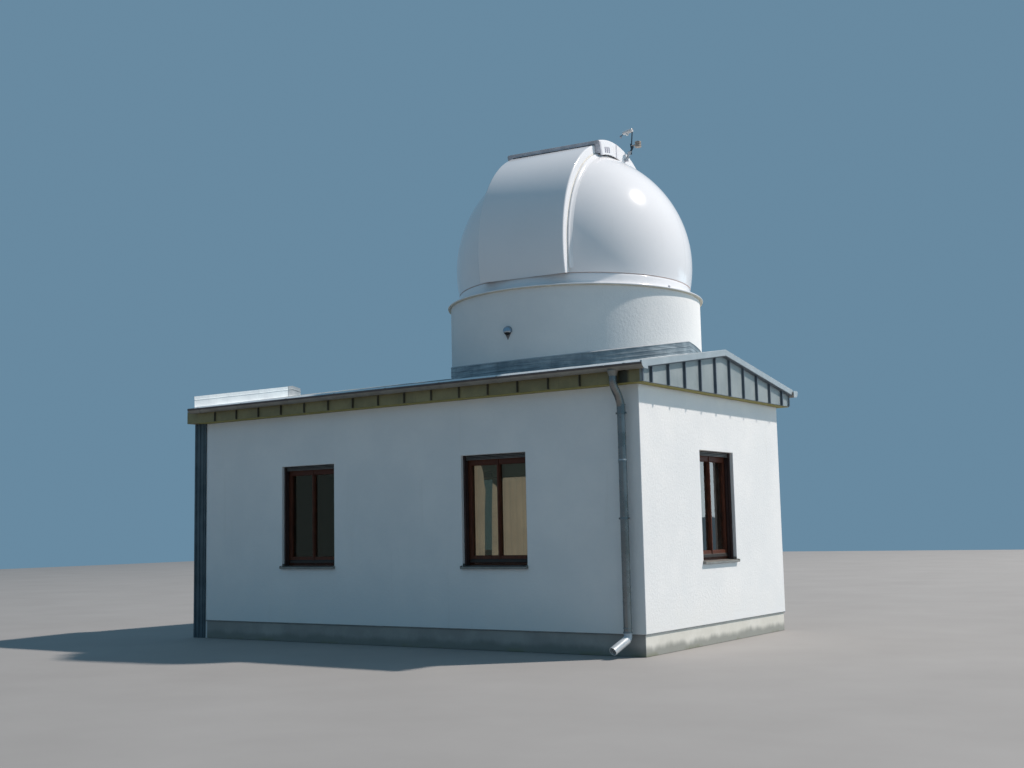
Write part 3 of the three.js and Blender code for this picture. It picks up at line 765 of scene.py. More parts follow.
def windowPlaces():
    places = {}
    for i, x in enumerate(windowOpening["longWall"], 1):
        places[f"front_window_{i}"] = Matrix.Translation((x, -house["halfDepth"], 0))
        places[f"rear_window_{i}"] = (
            Matrix.Translation((x, house["halfDepth"], 0)) @ Matrix.Rotation(math.pi, 4, "Z")
        )
    places["gable_window"] = Matrix.Translation((house["gableX"], 0, 0)) @ Matrix.Rotation(math.pi / 2, 4, "Z")
    return places


def makeWalls():
    outer, end = house["halfDepth"], house["gableX"]
    inner, inside = outer - house["wall"], end - house["wall"]
    start = house["partyX"] + house["partyWall"] + hairGap
    plan = [
        (start, -outer), (end, -outer), (end, outer), (start, outer),
        (start, inner), (inside, inner), (inside, -inner), (start, -inner),
    ]
    coat = prism(plan, "z", (house["plinthHeight"], house["wallHead"]))
    past = wallCoat["cutPast"]
    opening = box(
        (-windowOpening["half"], windowOpening["half"]), (-past, house["wall"] + past),
        (windowOpening["sill"], windowOpening["head"]),
    )
    holes = merged([moved(opening, place) for place in windowPlaces().values()])
    makePiece(
        "rendered_walls", carved(coat, holes), "render", "render", bevel=wallCoat["arris"], segments=3,
        replaces=("front_wall", "rear_wall"),
    )
    under, foot = house["roof"] + wallCoat["underRoof"], wallCoat["peakFoot"]
    eaves = roofAt(outer) - under
    peak = [(-outer, eaves), (-outer, foot), (outer, foot), (outer, eaves), (0, roofAt(0) - under)]
    makePiece("gable_peak", prism(peak, "x", (inside, end)), "render", "render", replaces=("gable_wall",))
    dress("party_wall", "render")
    dress("plinth", "plinth", wallCoat["plinthArris"])
    dress("floor_slab", "concrete")
    dress("ceiling_slab", "concrete")


def makeBaseBead():
    outer, end = house["halfDepth"] - baseBead["set"], house["gableX"] - baseBead["set"]
    start, width, z = house["partyX"] + baseBead["start"], baseBead["width"], baseBead["z"]
    strips = [box((start, end), oneSide(side, outer - width, outer), z) for side in (-1, 1)]
    strips.append(box((end - width, end), (-outer, outer), z))
    makePiece("base_bead", merged(strips), "bead", "trim", bevel=baseBead["bevel"])


makeWalls()
makeBaseBead()
print("walls made")

# Windows. Each is made in its own place: x across, y into the wall, z up

joinery = {
    "side": 0.068, "head": 0.110, "foot": 0.12, "outer": 0.038, "headRail": 0.044, "footRail": 0.0327,
    "sashFoot": 0.037, "sashHead": 0.04, "frontStep": 0.006, "backStep": 0.012, "sashTuck": 0.004,
    "stiles": (0.0015, 0.017), "railTuck": 0.002, "bead": 0.005, "beadTuck": 0.001, "beadY": (0.007, 0.03),
    "coverHalf": 0.010, "coverY": (-0.008, 0.004), "coverZ": (0.012, -0.01), "bevel": 0.003,
}
# The rain deflector as (into the wall from the sash's face, above the frame's foot)
deflectorProfile = [
    (0.004, 0.089), (-0.008, 0.079), (-0.014, 0.052), (-0.014, 0.046), (-0.008, 0.046), (-0.006, 0.055),
    (0.004, 0.062),
]
deflectorGap = {"middle": 0.001, "end": 0.002}
guides = {
    "width": 0.024, "front": 0.04, "slot": (0.022, 0.034), "slotDepth": 0.014, "side": 0.0005, "head": 0.0005,
}
slats = {
    "rows": (0.014, 0.018, 0.018), "below": 0.052, "gap": 0.005, "thickness": 0.011, "belly": 0.003,
    "side": 0.002, "head": 0.001, "casing": 0.03, "casingBehind": 0.024,
    "lipSide": 0.003, "lipY": (-0.005, 0.002), "lipZ": (0.0005, 0.007),
}
sill = {
    "level": 0.012, "fall": 0.008, "thickness": 0.003, "over": 0.012, "cap": 0.004, "upstand": 0.034,
    "side": 0.001, "endFold": 0.003, "wallGap": -0.001,
    # The nose and its turned-up ends, as (into the wall from its face, above the sill's front edge)
    "nose": [(-0.001, 0), (-0.032, -0.005), (-0.033, -0.022), (-0.026, -0.026)],
    "end": [(-0.036, -0.024), (-0.001, -0.024), (-0.001, 0.012), (-0.036, 0.006)],
}
sashFace = windowOpening["reveal"] - joinery["frontStep"]


def frameEdges():
    return windowOpening["sill"] + hairGap, windowOpening["head"] - hairGap, windowOpening["half"] - hairGap


def joineryShape():
    low, high, edge = frameEdges()
    half, foot, head = edge - joinery["side"], low + joinery["foot"], high - joinery["head"]
    y = (windowOpening["reveal"], windowOpening["reveal"] + windowOpening["frame"])
    sashY = (sashFace, y[1] - joinery["backStep"])
    sashZ = (low + joinery["sashFoot"], high - joinery["sashHead"])
    beadY = [sashFace + depth for depth in joinery["beadY"]]
    side, stile, bead = edge - joinery["outer"], joinery["stiles"][1], joinery["bead"]
    tuck, beadTuck = joinery["railTuck"], joinery["beadTuck"]
    parts = [
        box((-edge, -side), y, (low, high)),
        box((side, edge), y, (low, high)),
        box((-side, side), y, (high - joinery["headRail"], high)),
        box((-side, side), y, (low, low + joinery["footRail"])),
    ]
    for hand in (-1, 1):
        for stiles in ((half, side + joinery["sashTuck"]), joinery["stiles"]):  # outer and meeting stiles
            parts.append(box(oneSide(hand, *stiles), sashY, sashZ))
        x = oneSide(hand, stile - tuck, half + tuck)
        inner, outer = oneSide(hand, stile - beadTuck, half + beadTuck)
        parts += [
            box(x, sashY, (sashZ[0], foot)),
            box(x, sashY, (head, sashZ[1])),
            box((inner, outer), beadY, (foot - beadTuck, foot + bead)),
            box((inner, outer), beadY, (head - bead, head + beadTuck)),
            box((inner, inner + bead), beadY, (foot, head)),
            box((outer - bead, outer), beadY, (foot, head)),
        ]
    cover = joinery["coverHalf"]
    coverY = [sashFace + depth for depth in joinery["coverY"]]
    coverZ = [end + inset for end, inset in zip(sashZ, joinery["coverZ"])]
    parts.append(box((-cover, cover), coverY, coverZ))
    return merged(parts)


def weatherBar():
    low, high, edge = frameEdges()
    outline = [(sashFace + out, low + lift) for out, lift in deflectorProfile]
    ends = (deflectorGap["middle"], edge - joinery["outer"] - deflectorGap["end"])
    return merged([prism(outline, "x", oneSide(side, *ends)) for side in (-1, 1)])


def guideShape():
    edge, front = windowOpening["half"] - guides["side"], guides["front"]
    inner, slotFoot = edge - guides["width"], edge - guides["width"] + guides["slotDepth"]
    near, far = (front + depth for depth in guides["slot"])
    outline = [
        (edge, front), (edge, sashFace), (inner, sashFace), (inner, far),
        (slotFoot, far), (slotFoot, near), (inner, near), (inner, front),
    ]
    right = prism(outline, "z", (windowOpening["sill"] + sill["level"], windowOpening["head"] - guides["head"]))
    return merged([right, mirrored(right)])


def slatRows():
    # Where each slat of the rolled-up shutter starts, and its height
    foot = windowOpening["head"] - slats["head"] - slats["below"]
    for depth in slats["rows"]:
        yield foot, depth
        foot += depth


def slatShape():
    # The slats just below the head, and the casing behind them
    edge, head = windowOpening["half"] - guides["width"] - slats["side"], windowOpening["head"] - slats["head"]
    y, belly = guides["front"] + guides["slot"][0], slats["belly"]
    back = y + slats["thickness"]
    parts = []
    for foot, depth in slatRows():
        top, middle = foot + depth - slats["gap"], foot + depth / 2
        outline = [(y, foot), (back, foot), (back + belly, middle), (back, top), (y, top), (y - belly, middle)]
        parts.append(prism(outline, "x", (-edge, edge)))
    parts.append(box((-edge, edge), (y + slats["casingBehind"], sashFace), (head - slats["casing"], head)))
    return merged(parts)


def slatLips():
    # The hooked lower edge of each slat, in a lighter finish that paints the highlight along it
    edge = windowOpening["half"] - guides["width"] - slats["lipSide"]
    y = [guides["front"] + guides["slot"][0] + out for out in slats["lipY"]]
    return merged([box((-edge, edge), y, [foot + z for z in slats["lipZ"]]) for foot, depth in slatRows()])


def sillPiece():
    level = windowOpening["sill"] + sill["level"]
    front = level - sill["fall"]
    edge, outside = windowOpening["half"] - sill["side"], windowOpening["half"] + sill["over"]
    slope = [(sashFace, level), (sill["wallGap"], front)]
    nose, end = ([(y, front + lift) for y, lift in sill[key]] for key in ("nose", "end"))
    parts = [
        prism(folded(slope, sill["thickness"]), "x", (-edge, edge)),
        prism(folded(nose, sill["thickness"]), "x", (-outside, outside)),
    ]
    for hand in (-1, 1):  # turned-up ends in front of the wall and inside the reveal
        parts.append(prism(end, "x", oneSide(hand, outside - sill["cap"], outside)))
        x = oneSide(hand, edge - sill["endFold"], edge)
        parts.append(box(x, (0, guides["front"]), (front, front + sill["upstand"])))
    return merged(parts)


# Each window's pieces: shape, finish, slot and bevel
windowParts = {
    "weather_bar": (weatherBar, "deflector", "trim", 0.001),
    "shutter_guides": (guideShape, "guide", "joinery", 0.0015),
    "shutter_slats": (slatShape, "slat", "joinery", 0.001),
    "slat_lips": (slatLips, "lip", "joinery", 0.0006),
    "sill": (sillPiece, "sill", "trim", 0.0008),
}


def makeWindows():
    for name, place in windowPlaces().items():
        makePiece(
            f"{name}_joinery", joineryShape(), "joinery", "joinery", bevel=joinery["bevel"], place=place,
            replaces=(f"{name}_frame",),
        )
        for part, (shape, finish, slot, bevel) in windowParts.items():
            makePiece(f"{name}_{part}", shape(), finish, slot, bevel=bevel, place=place)
        dress(f"{name}_glass", "gableGlass" if name == "gable_window" else "glass")


curtains = {
    "window": "front_window_2", "depth": 0.235, "lowDepth": 0.262, "wave": 0.012, "waveLength": 0.085,
    "foot": 0.965, "fullness": 1.2, "columns": 64, "rows": 44,
    "lowRail": 1.924, "highRail": 2.155, "railRadius": 0.006, "railSide": 0.0005,
}
# Edges as (height, across) and tops as (across, height), from the window's middle
leftCurtain = {
    "left": [(0.965, -0.43), (2.15, -0.43)],
    "right": [
        (0.965, -0.296), (1.05, -0.293), (1.54, -0.278), (1.79, -0.265), (1.97, -0.301), (2.07, -0.333),
        (2.15, -0.37),
    ],
    "top": [(-0.43, 2.15), (-0.2, 2.15)],
}
rightCurtain = {
    "left": [(0.965, -0.229), (1.05, -0.225), (1.54, -0.200), (1.79, -0.188), (1.93, -0.18)],
    "right": [(0.965, 0.43), (1.93, 0.43)],
    "top": [(-0.23, 1.87), (-0.2, 1.86), (-0.137, 1.80), (-0.10, 1.84), (-0.055, 1.918), (0.43, 1.918)],
}


def valueAt(points, at):
    # The value at a place on a line of (place, value) points
    for (a, first), (b, second) in zip(points, points[1:]):
        if at <= b:
            return first + (second - first) * max(0, at - a) / (b - a)
    return points[-1][1]


def curtain(name, edges, depth):
    columns, rows, foot = curtains["columns"], curtains["rows"], curtains["foot"]
    middle = (edges["top"][0][1] + foot) / 2

    def acrossAt(z, share):
        left, right = (valueAt(edges[side], z) for side in ("left", "right"))
        return left * (1 - share) + right * share

    points, faces = [], []
    for r in range(rows + 1):
        for c in range(columns + 1):
            top = valueAt(edges["top"], acrossAt(middle, c / columns))
            z = foot + (top - foot) * r / rows
            x = acrossAt(z, c / columns)
            y = depth + curtains["wave"] * math.sin(2 * math.pi * x / curtains["waveLength"])
            points.append((x, y, z))
    area = 0
    for r in range(rows):
        for c in range(columns):
            a = r * (columns + 1) + c
            faces.append((a, a + 1, a + columns + 2, a + columns + 1))
            near, one, far, two = (Vector(points[i]) for i in faces[-1])
            area += ((one - near).cross(far - near).length + (far - near).cross(two - near).length) / 2
    piece = makePiece(name, (points, faces), "curtain", "render", place=windowPlaces()[curtains["window"]])
    drop = max(point[2] for point in points) - foot
    width = area / drop * curtains["fullness"]


def makeCurtains():
    end = windowOpening["half"] - curtains["railSide"]
    rods = []
    for z, depth in ((curtains["lowRail"], curtains["lowDepth"]), (curtains["highRail"], curtains["depth"])):
        rods.append(tube([(-end, depth, z), (end, depth, z)], curtains["railRadius"], barSides["wire"]))
    makePiece("curtain_rail", merged(rods), "sill", "trim", place=windowPlaces()[curtains["window"]])
    curtain("left_curtain", leftCurtain, curtains["depth"])
    curtain("right_curtain", rightCurtain, curtains["lowDepth"])


makeWindows()
makeCurtains()
print("windows made")

# Roof: standing seams, ridge cap, fascia folds, soffit boards

sheetBevel = {"eaves": 0.002, "strip": 0.0015, "cladding": 0.002, "verge": 0.004}
roofSeams = {
    "clearOfDrum": 1.668, "clearOfRidge": 0.09, "shortest": 0.2, "bevel": 0.002,
    "section": [
        (-0.005, 0.0004), (0.005, 0.0004), (0.005, 0.008), (0.0085, 0.0095), (0.0085, 0.014), (-0.0085, 0.014),
        (-0.0085, 0.0095), (-0.005, 0.008),
    ],
    "laidDown": ((0.085, 0.15), (0.12, 1)),  # (before the eaves, share of the height)
}
fasciaFolds = {"foot": 2.83, "steps": ((0.004, 0.024, 2.944), (0.012, 0.0035, 2.974)), "bevel": 0.001}
soffitBoards = {
    "count": 3, "wallGap": 0.002, "fasciaGap": 0.004, "gap": 0.003, "z": (2.8195, 2.8256), "bevel": 0.001,
    "partyGap": 0.215, "vergeGap": 0.006, "gablePitch": 0.036,
}
ridgeCap = {
    "reach": 0.12, "hem": 0.004, "lift": 0.008, "crown": 0.010, "thickness": 0.004, "partyGap": 0.012,
    "drumGap": 1.60,
}


def seamRuns():
    # Where each seam runs, and how near the ridge it starts
    runs = []
    for k in range(house["seams"]):
        x, clear = house["firstSeam"] - house["seamPitch"] * k, roofSeams["clearOfDrum"]
        near = math.sqrt(clear ** 2 - x ** 2) if abs(x) < clear else roofSeams["clearOfRidge"]
        if near <= eavesLine - roofSeams["shortest"]:
            runs.append((x, near))
    return runs


def makeSeams(side, name):
    seams, folds = [], []
    for x, near in seamRuns():
        stations = [(eavesLine - before, share) for before, share in roofSeams["laidDown"]] + [(near, 1)]
        seams.append(loft([
            [(x + a, side * y, roofAt(y) + lift * share) for a, lift in roofSeams["section"]]
            for y, share in stations
        ]))
        for half, proud, top in fasciaFolds["steps"]:
            y = oneSide(side, eavesLine, eavesLine + proud)
            folds.append(box((x - half, x + half), y, (fasciaFolds["foot"], top)))
    makePiece(f"{name}_roof_seams", merged(seams), "sheetZinc", "zinc", bevel=roofSeams["bevel"])
    makePiece(f"{name}_fascia_folds", merged(folds), "foldZinc", "zinc", bevel=fasciaFolds["bevel"])


def makeSoffit(side, name):
    boards = soffitBoards
    edge = house["halfDepth"] + boards["wallGap"]
    width = (eavesLine - boards["fasciaGap"] - edge) / boards["count"]
    x = (house["partyX"] + boards["partyGap"], vergeFace - boards["vergeGap"])
    shapes = []
    for i in range(boards["count"]):
        near = edge + width * i
        shapes.append(box(x, oneSide(side, near, near + width - boards["gap"]), boards["z"]))
    makePiece(f"{name}_soffit_boards", merged(shapes), "soffit", "joinery", bevel=boards["bevel"])


def makeRidgeCap():
    reach, hem = ridgeCap["reach"], ridgeCap["hem"]
    edge, level = roofAt(reach) + hem, roofAt(reach) + ridgeCap["lift"]
    crown, drum = roofAt(0) + ridgeCap["crown"], ridgeCap["drumGap"]
    path = [(-reach, edge), (hem - reach, level), (0, crown), (reach - hem, level), (reach, edge)]
    outline = folded(path, ridgeCap["thickness"])
    runs = ((house["partyX"] + ridgeCap["partyGap"], -drum), (drum, vergeFace))
    makePiece("ridge_cap", merged([prism(outline, "x", run) for run in runs]), "sheetZinc", "zinc")


def makeRoof():
    for side, name in longSides:
        dress(f"{name}_roof_slope", "sheetZinc")
        dress(f"{name}_eaves", "fasciaZinc", sheetBevel["eaves"])
        dress(f"{name}_end_strip", "stripZinc", sheetBevel["strip"])
        makeSeams(side, name)
        makeSoffit(side, name)
    makeRidgeCap()


# Sheets folded up against the party wall's end: a hem, a fold a third of the way down, and a foot
abutment = {
    "front": -1.863, "rearEnd": 0.165, "lap": -0.085, "underLap": 0.01, "lapProud": 0.004, "thickness": 0.0025,
    "joints": (-1.26, -0.66), "jointHalf": 0.02, "jointProud": 0.0012,
    "section": [
        (0.0015, 0.135), (0.0015, 0.155), (0.0105, 0.155), (0.0115, 0.114), (0.0195, 0.109), (0.0200, 0.104),
        (0.0140, 0.100), (0.0165, 0.020), (0.0230, 0.007), (0.1500, 0.0035),
    ],
}


def abutmentSheet(near, far, proud=0):
    section = folded([(x + proud, lift + proud) for x, lift in abutment["section"]], abutment["thickness"])
    stations = [near, 0, far] if near < 0 < far else [near, far]  # the roof bends at the ridge
    return loft([[(house["partyX"] + x, y, roofAt(y) + lift) for x, lift in section] for y in stations])


def makeAbutment():
    lap, half = abutment["lap"], abutment["jointHalf"]
    sheet = [abutmentSheet(abutment["front"], lap + abutment["underLap"])]
    for y in abutment["joints"]:  # a lapped joint between two sheets
        sheet.append(abutmentSheet(y - half, y + half, abutment["jointProud"]))
    makePiece("abutment_sheets", merged(sheet), "flashingZinc", "trim", replaces=("abutment_flashing",))
    endSheet = abutmentSheet(lap, abutment["rearEnd"], abutment["lapProud"])
    makePiece("abutment_end_sheet", endSheet, "sheetZinc", "trim")


# Gable: cladding seams and the trims round them. Sections as (past the verge's face, height)

cladding = {
    "count": 10, "pitch": 0.387, "shift": -0.036, "proud": 0.026, "half": 0.008, "foot": 2.8262, "head": 0.0645,
    "lap": (-0.024, 0.019), "lapProud": 0.004, "lapFoot": 2.833,
    "post": 0.03, "postProud": 0.012, "postZ": (2.832, 2.97), "bevel": 0.0015,
}
vergeReturn = {"below": 0.0602, "section": [(0, -0.012), (0.044, -0.007), (0.048, 0), (0, 0)]}
claddingDrip = [(-0.02, 2.829), (0.002, 2.829), (0.0035, 2.8265), (0.002, 2.8255), (-0.02, 2.8255)]
cornerCover = {"proud": (0.0002, 0.0014), "wallLap": 0.002, "vergeGap": 0.0255, "z": (2.827, 2.85)}


def makeGable():
    face = vergeFace
    dress("gable_cladding", "panelZinc", sheetBevel["cladding"])
    dress("verge_trim", "trimZinc", sheetBevel["verge"])
    band = []
    for y in (-eavesLine, 0, eavesLine):  # the trim's lower fold, in dark zinc that paints the shade under the trim
        foot = roofAt(y) - vergeReturn["below"]
        band.append([(face + out, y, foot + lift) for out, lift in vergeReturn["section"]])
    makePiece("verge_trim_return", loft(band), "seamZincPaintedShade", "zinc")
    folds = []
    half, lap = cladding["half"], cladding["lap"]
    for k in range(cladding["count"]):
        y = (k - (cladding["count"] - 1) / 2) * cladding["pitch"] + cladding["shift"]
        head = roofAt(y) - cladding["head"]
        folds.append(box((face, face + cladding["proud"]), (y - half, y + half), (cladding["foot"], head)))
        folds.append(box((face, face + cladding["lapProud"]), (y + lap[0], y + lap[1]), (cladding["lapFoot"], head)))
    for side in (-1, 1):  # corner posts
        y = oneSide(side, eavesLine - cladding["post"], eavesLine)
        folds.append(box((face, face + cladding["postProud"]), y, cladding["postZ"]))
    # the seams' dark finish paints their shaded sides
    makePiece("cladding_seams", merged(folds), "seamZincPaintedShade", "zinc", bevel=cladding["bevel"])
    # the drip's dark finish paints the shade line at the cladding's foot
    drip = prism([(face + out, z) for out, z in claddingDrip], "y", (-eavesLine, eavesLine))
    makePiece("cladding_drip", drip, "seamZincPaintedShade", "zinc")
    boards = []
    for i in range(soffitBoards["count"]):
        near = house["gableX"] + soffitBoards["wallGap"] + soffitBoards["gablePitch"] * i
        x = (near, near + soffitBoards["gablePitch"] - soffitBoards["gap"])
        boards.append(box(x, (-house["halfDepth"], house["halfDepth"]), soffitBoards["z"]))
    makePiece("gable_soffit_boards", merged(boards), "soffit", "joinery", bevel=soffitBoards["bevel"])
    x = (house["gableX"] - cornerCover["wallLap"], face - cornerCover["vergeGap"])
    near, far = (eavesLine + proud for proud in cornerCover["proud"])
    covers = [box(x, oneSide(side, near, far), cornerCover["z"]) for side in (-1, 1)]
    makePiece("fascia_corner_covers", merged(covers), "fasciaZinc", "zinc")


# Gutters and downpipes

gutterSize = {
    "radius": 0.062, "wall": 0.0035, "top": 3.010, "ends": (-4.781, 2.059), "line": eavesLine + 0.0623,
    "cap": 0.003, "bead": 0.0125, "beadDrop": 0.0115, "beadIn": 0.002, "beadTurn": 345,
}
arcSteps = {"gutter": 28, "bead": 18, "bracket": 20, "endPlate": 10}
# The plates that close the gutters beside the verge
gutterEnd = {
    "x": (2.059, 2.0625), "corners": [(1.965, 2.945), (1.965, 3.03), (2.088, 3.03), (2.096, 3.02)],
    "radius": 0.0635, "turn": -78, "bevel": 0.001,
}
# The sheet at the eaves that leads the water into the gutter. Places as (past the roof's edge, down)
dripPath = [
    (-0.12, -0.0035), (-0.050, -0.0035), (-0.042, -0.0135), (-0.014, -0.0135), (-0.001, -0.0045), (0.004, -0.0015),
    (0.036, 0.027), (0.036, 0.034),
]
dripStrip = {"thickness": 0.003, "partyGap": 0.15}
brackets = {
    "count": 9, "first": 0.2, "every": 0.804, "under": 0.003, "thickness": 0.003, "half": 0.014, "lift": 0.001,
    "backTop": (0.0005, 0.01), "frontTop": (0.001, 0.004),
}
pipeSize = {
    "radius": 0.0435, "x": 1.705, "outlet": 1.68, "standOff": 0.09, "neckTop": 2.805, "neckFoot": 2.64,
    "elbowTop": 0.26, "shoeTop": 0.19, "shoeReach": 0.215, "shoeTurn": 0.06, "shoeFoot": 0.08, "bend": 0.11,
    "wall": 0.0025, "inGutter": 0.002, "boreExtra": 0.02, "sides": 32, "bandTuck": 0.001, "bandLip": 0.006,
    "bandLipShare": 0.3, "bandTop": 0.6, "elbowShort": 3, "shoePoints": 5,
}
# The outlet under the gutter as (radius, height)
funnelProfile = [(0.0432, 2.896), (0.0460, 2.896), (0.0465, 2.915), (0.0590, 2.948), (0.0560, 2.960), (0.0432, 2.935)]
# Bands round the pipe as (middle height, height, proud)
pipeBands = [
    (2.555, 0.088, 0.0025), (2.603, 0.008, 0.005), (2.507, 0.008, 0.005), (2.010, 0.030, 0.0022),
    (0.300, 0.012, 0.0045), (0.258, 0.016, 0.006),
]
pipeRing = (2.026, 0.014, 0.006)
pipeClip = {
    "heights": (2.515, 1.42), "band": (0.026, 0.004), "stay": 0.006, "lugOut": 0.02, "lugIn": 0.002,
    "lugHalf": 0.004, "lugHeight": 0.010, "screwOut": 0.013, "screwHalf": 0.012, "screw": 0.0045,
}


def pipeLine(side):
    return side * (house["halfDepth"] + pipeSize["standOff"])


def makeGutterEnds():
    middle = (gutterSize["line"], gutterSize["top"])
    outline = gutterEnd["corners"] + arc(middle, gutterEnd["radius"], 0, gutterEnd["turn"], arcSteps["endPlate"])
    plates = [prism([(side * y, z) for y, z in outline], "x", gutterEnd["x"]) for side in (-1, 1)]
    makePiece("gutter_end_plates", merged(plates), "trimZinc", "trim", bevel=gutterEnd["bevel"])


def makeDripStrips():
    for side, name in longSides:
        path = [(side * (eavesLine + out), roofAt(eavesLine + min(out, 0)) - down) for out, down in dripPath]
        x = (house["partyX"] + dripStrip["partyGap"], vergeFace)
        makePiece(f"{name}_drip_strip", prism(folded(path, dripStrip["thickness"]), "x", x), "dripZinc", "trim")


def halfRound(middle, radius, kind):
    return arc(middle, radius, 180, 360, arcSteps[kind])


def gutterShape(side):
    middle, radius, wall = (side * gutterSize["line"], gutterSize["top"]), gutterSize["radius"], gutterSize["wall"]
    start, end = gutterSize["ends"]
    trough = prism(folded(halfRound(middle, radius - wall / 2, "gutter"), wall), "x", (start, end))
    cap = halfRound(middle, radius, "gutter")
    caps = [prism(cap, "x", (x, x + gutterSize["cap"])) for x in (start, end - gutterSize["cap"])]
    return merged([trough, *caps])


def gutterBead(side):
    # The rolled front edge
    out = gutterSize["line"] + gutterSize["radius"] - gutterSize["beadIn"]
    centre = (side * out, gutterSize["top"] - gutterSize["beadDrop"])
    roll = arc(centre, gutterSize["bead"], 0, gutterSize["beadTurn"], arcSteps["bead"])
    return prism(roll, "x", gutterSize["ends"])


def bracketShape(side, x):
    radius, top = gutterSize["radius"] + brackets["under"], gutterSize["top"]
    (backOut, backUp), (frontOut, frontUp) = brackets["backTop"], brackets["frontTop"]
    hook = halfRound((0, top + brackets["lift"]), radius, "bracket")
    hook = [(-radius - backOut, top + backUp), *hook, (radius + frontOut, top + frontUp)]
    band = [(side * (gutterSize["line"] + y), z) for y, z in hook]
    return prism(folded(band, brackets["thickness"]), "x", (x - brackets["half"], x + brackets["half"]))


def pipePaths(side):
    size, out, wall = pipeSize, side * gutterSize["line"], pipeLine(side)
    upper = [
        (size["outlet"], out, gutterSize["top"] - gutterSize["radius"] + size["inGutter"]),
        (size["outlet"], out, size["neckTop"]),
        (size["x"], wall, size["neckFoot"]), (size["x"], wall, size["elbowTop"]),
    ]
    lower = [
        (size["x"], wall, size["elbowTop"]), (size["x"], wall, size["shoeTop"]),
        (size["x"] - size["shoeTurn"], wall + side * size["shoeReach"], size["shoeFoot"]),
    ]
    return roundedPath(upper, size["bend"]), roundedPath(lower, size["bend"])


def collarOn(side, z, height, proud):
    # A band round the pipe, rounded off at its top
    radius, low, high = pipeSize["radius"], z - height / 2, z + height / 2
    inner, lip = radius - pipeSize["bandTuck"], min(pipeSize["bandLip"], height * pipeSize["bandLipShare"])
    profile = [
        (inner, low), (radius + proud, low), (radius + proud, high - lip),
        (radius + proud * pipeSize["bandTop"], high), (inner, high),
    ]
    return moved(turned(profile, pipeSize["sides"]), Matrix.Translation((pipeSize["x"], pipeLine(side), 0)))


def clipShape(side, z):
    # A band with its two lugs and screw, and the stay that holds it off the wall
    x, radius, wall, clip = pipeSize["x"], pipeSize["radius"], pipeLine(side), pipeClip
    stay = tube([(x, side * house["halfDepth"], z), (x, wall - side * radius, z)], clip["stay"], barSides["wire"])
    lug = box(
        (x - radius - clip["lugOut"], x - radius + clip["lugIn"]), (wall - clip["lugHalf"], wall + clip["lugHalf"]),
        (z - clip["lugHeight"], z + clip["lugHeight"]),
    )
    screwX = x - radius - clip["screwOut"]
    screw = tube([(screwX, wall + end * clip["screwHalf"], z) for end in (-1, 1)], clip["screw"], barSides["screw"])
    return [collarOn(side, z, *clip["band"]), stay, lug, mirrored(lug, x), screw]


def makeRainwater():
    radius, wall, sides = pipeSize["radius"], pipeSize["wall"], pipeSize["sides"]
    for side, name in longSides:
        makePiece(f"{name}_gutter_trough", gutterShape(side), "gutterZinc", "zinc", replaces=(f"{name}_gutter",))
        makePiece(f"{name}_gutter_bead", gutterBead(side), "beadZincRustAndShade", "zinc")
        first = gutterSize["ends"][0] + brackets["first"]
        held = [bracketShape(side, first + brackets["every"] * i) for i in range(brackets["count"])]
        makePiece(f"{name}_gutter_brackets", merged(held), "gutterZinc", "zinc")
        upper, lower = pipePaths(side)
        makePiece(f"{name}_pipe", tube(upper, radius, sides), "pipeZinc", "zinc", replaces=(f"{name}_downpipe",))
        elbow, mouth = lower[:-pipeSize["elbowShort"]], lower[-pipeSize["shoePoints"]:]  # the shoe laps over
        makePiece(f"{name}_pipe_elbow", tube(elbow, radius, sides), "elbowZinc", "zinc")
        past = mouth[-1] + (mouth[-1] - mouth[-2]).normalized() * pipeSize["boreExtra"]
        shoe = carved(tube(mouth, radius + wall, sides), tube([*mouth[2:], past], radius - wall, sides))
        makePiece(f"{name}_pipe_shoe", shoe, "brightZinc", "zinc")
        bands = [collarOn(side, *band) for band in pipeBands]
        makePiece(f"{name}_pipe_sockets", merged(bands), "pipeZinc", "zinc")
        # the ring's lighter trim zinc paints the reflection along it
        makePiece(f"{name}_pipe_ring", collarOn(side, *pipeRing), "trimZinc", "zinc")
        outlet = Matrix.Translation((pipeSize["outlet"], side * gutterSize["line"], 0))
        makePiece(f"{name}_gutter_outlet", moved(turned(funnelProfile, sides), outlet), "gutterZinc", "zinc")
        clips = [part for z in pipeClip["heights"] for part in clipShape(side, z)]
        makePiece(f"{name}_pipe_clips", merged(clips), "pipeZinc", "zinc")


makeRoof()
makeAbutment()
makeGable()
makeGutterEnds()
makeDripStrips()
print("roof made")
makeRainwater()
print("rainwater goods made")

# Drum, collar, vent and ring flashing

# The sheet round the drum's foot with its two folds, and the mastic on it, as (radius, above the roof)
collar = {
    "sheet": [
        (1.5605, 0.001), (1.657, 0.001), (1.657, 0.005), (1.578, 0.009), (1.572, 0.016),
        (1.572, 0.043), (1.5755, 0.048), (1.5755, 0.055), (1.572, 0.057),
        (1.572, 0.091), (1.5755, 0.096), (1.5755, 0.103), (1.572, 0.105),
        (1.572, 0.141), (1.5755, 0.146), (1.5755, 0.154), (1.5605, 0.155),
    ],
    "mastic": [(1.5605, 0.155), (1.5745, 0.155), (1.5625, 0.164), (1.5605, 0.164)],
    "steps": 144,
}
vent = {
    "turn": -88.5, "height": 3.605, "radius": 0.058, "skin": 0.003, "mouth": 0.022, "wall": 1.5602,
    "louvres": (-0.019, -0.009, 0.001), "louvre": 0.003, "louvreHalf": 0.042, "louvreY": (-0.03, -0.004),
    "throat": 0.046, "throatY": (-0.002, -0.02), "throatZ": -0.002,
    "plate": 0.05, "tip": 0.104, "plateTurn": (-40, 220), "plateY": (-0.006, 0.004), "plateBevel": 0.001,
    "arcSteps": 24, "turns": 48, "throatSides": 32, "plateSteps": 40,
}
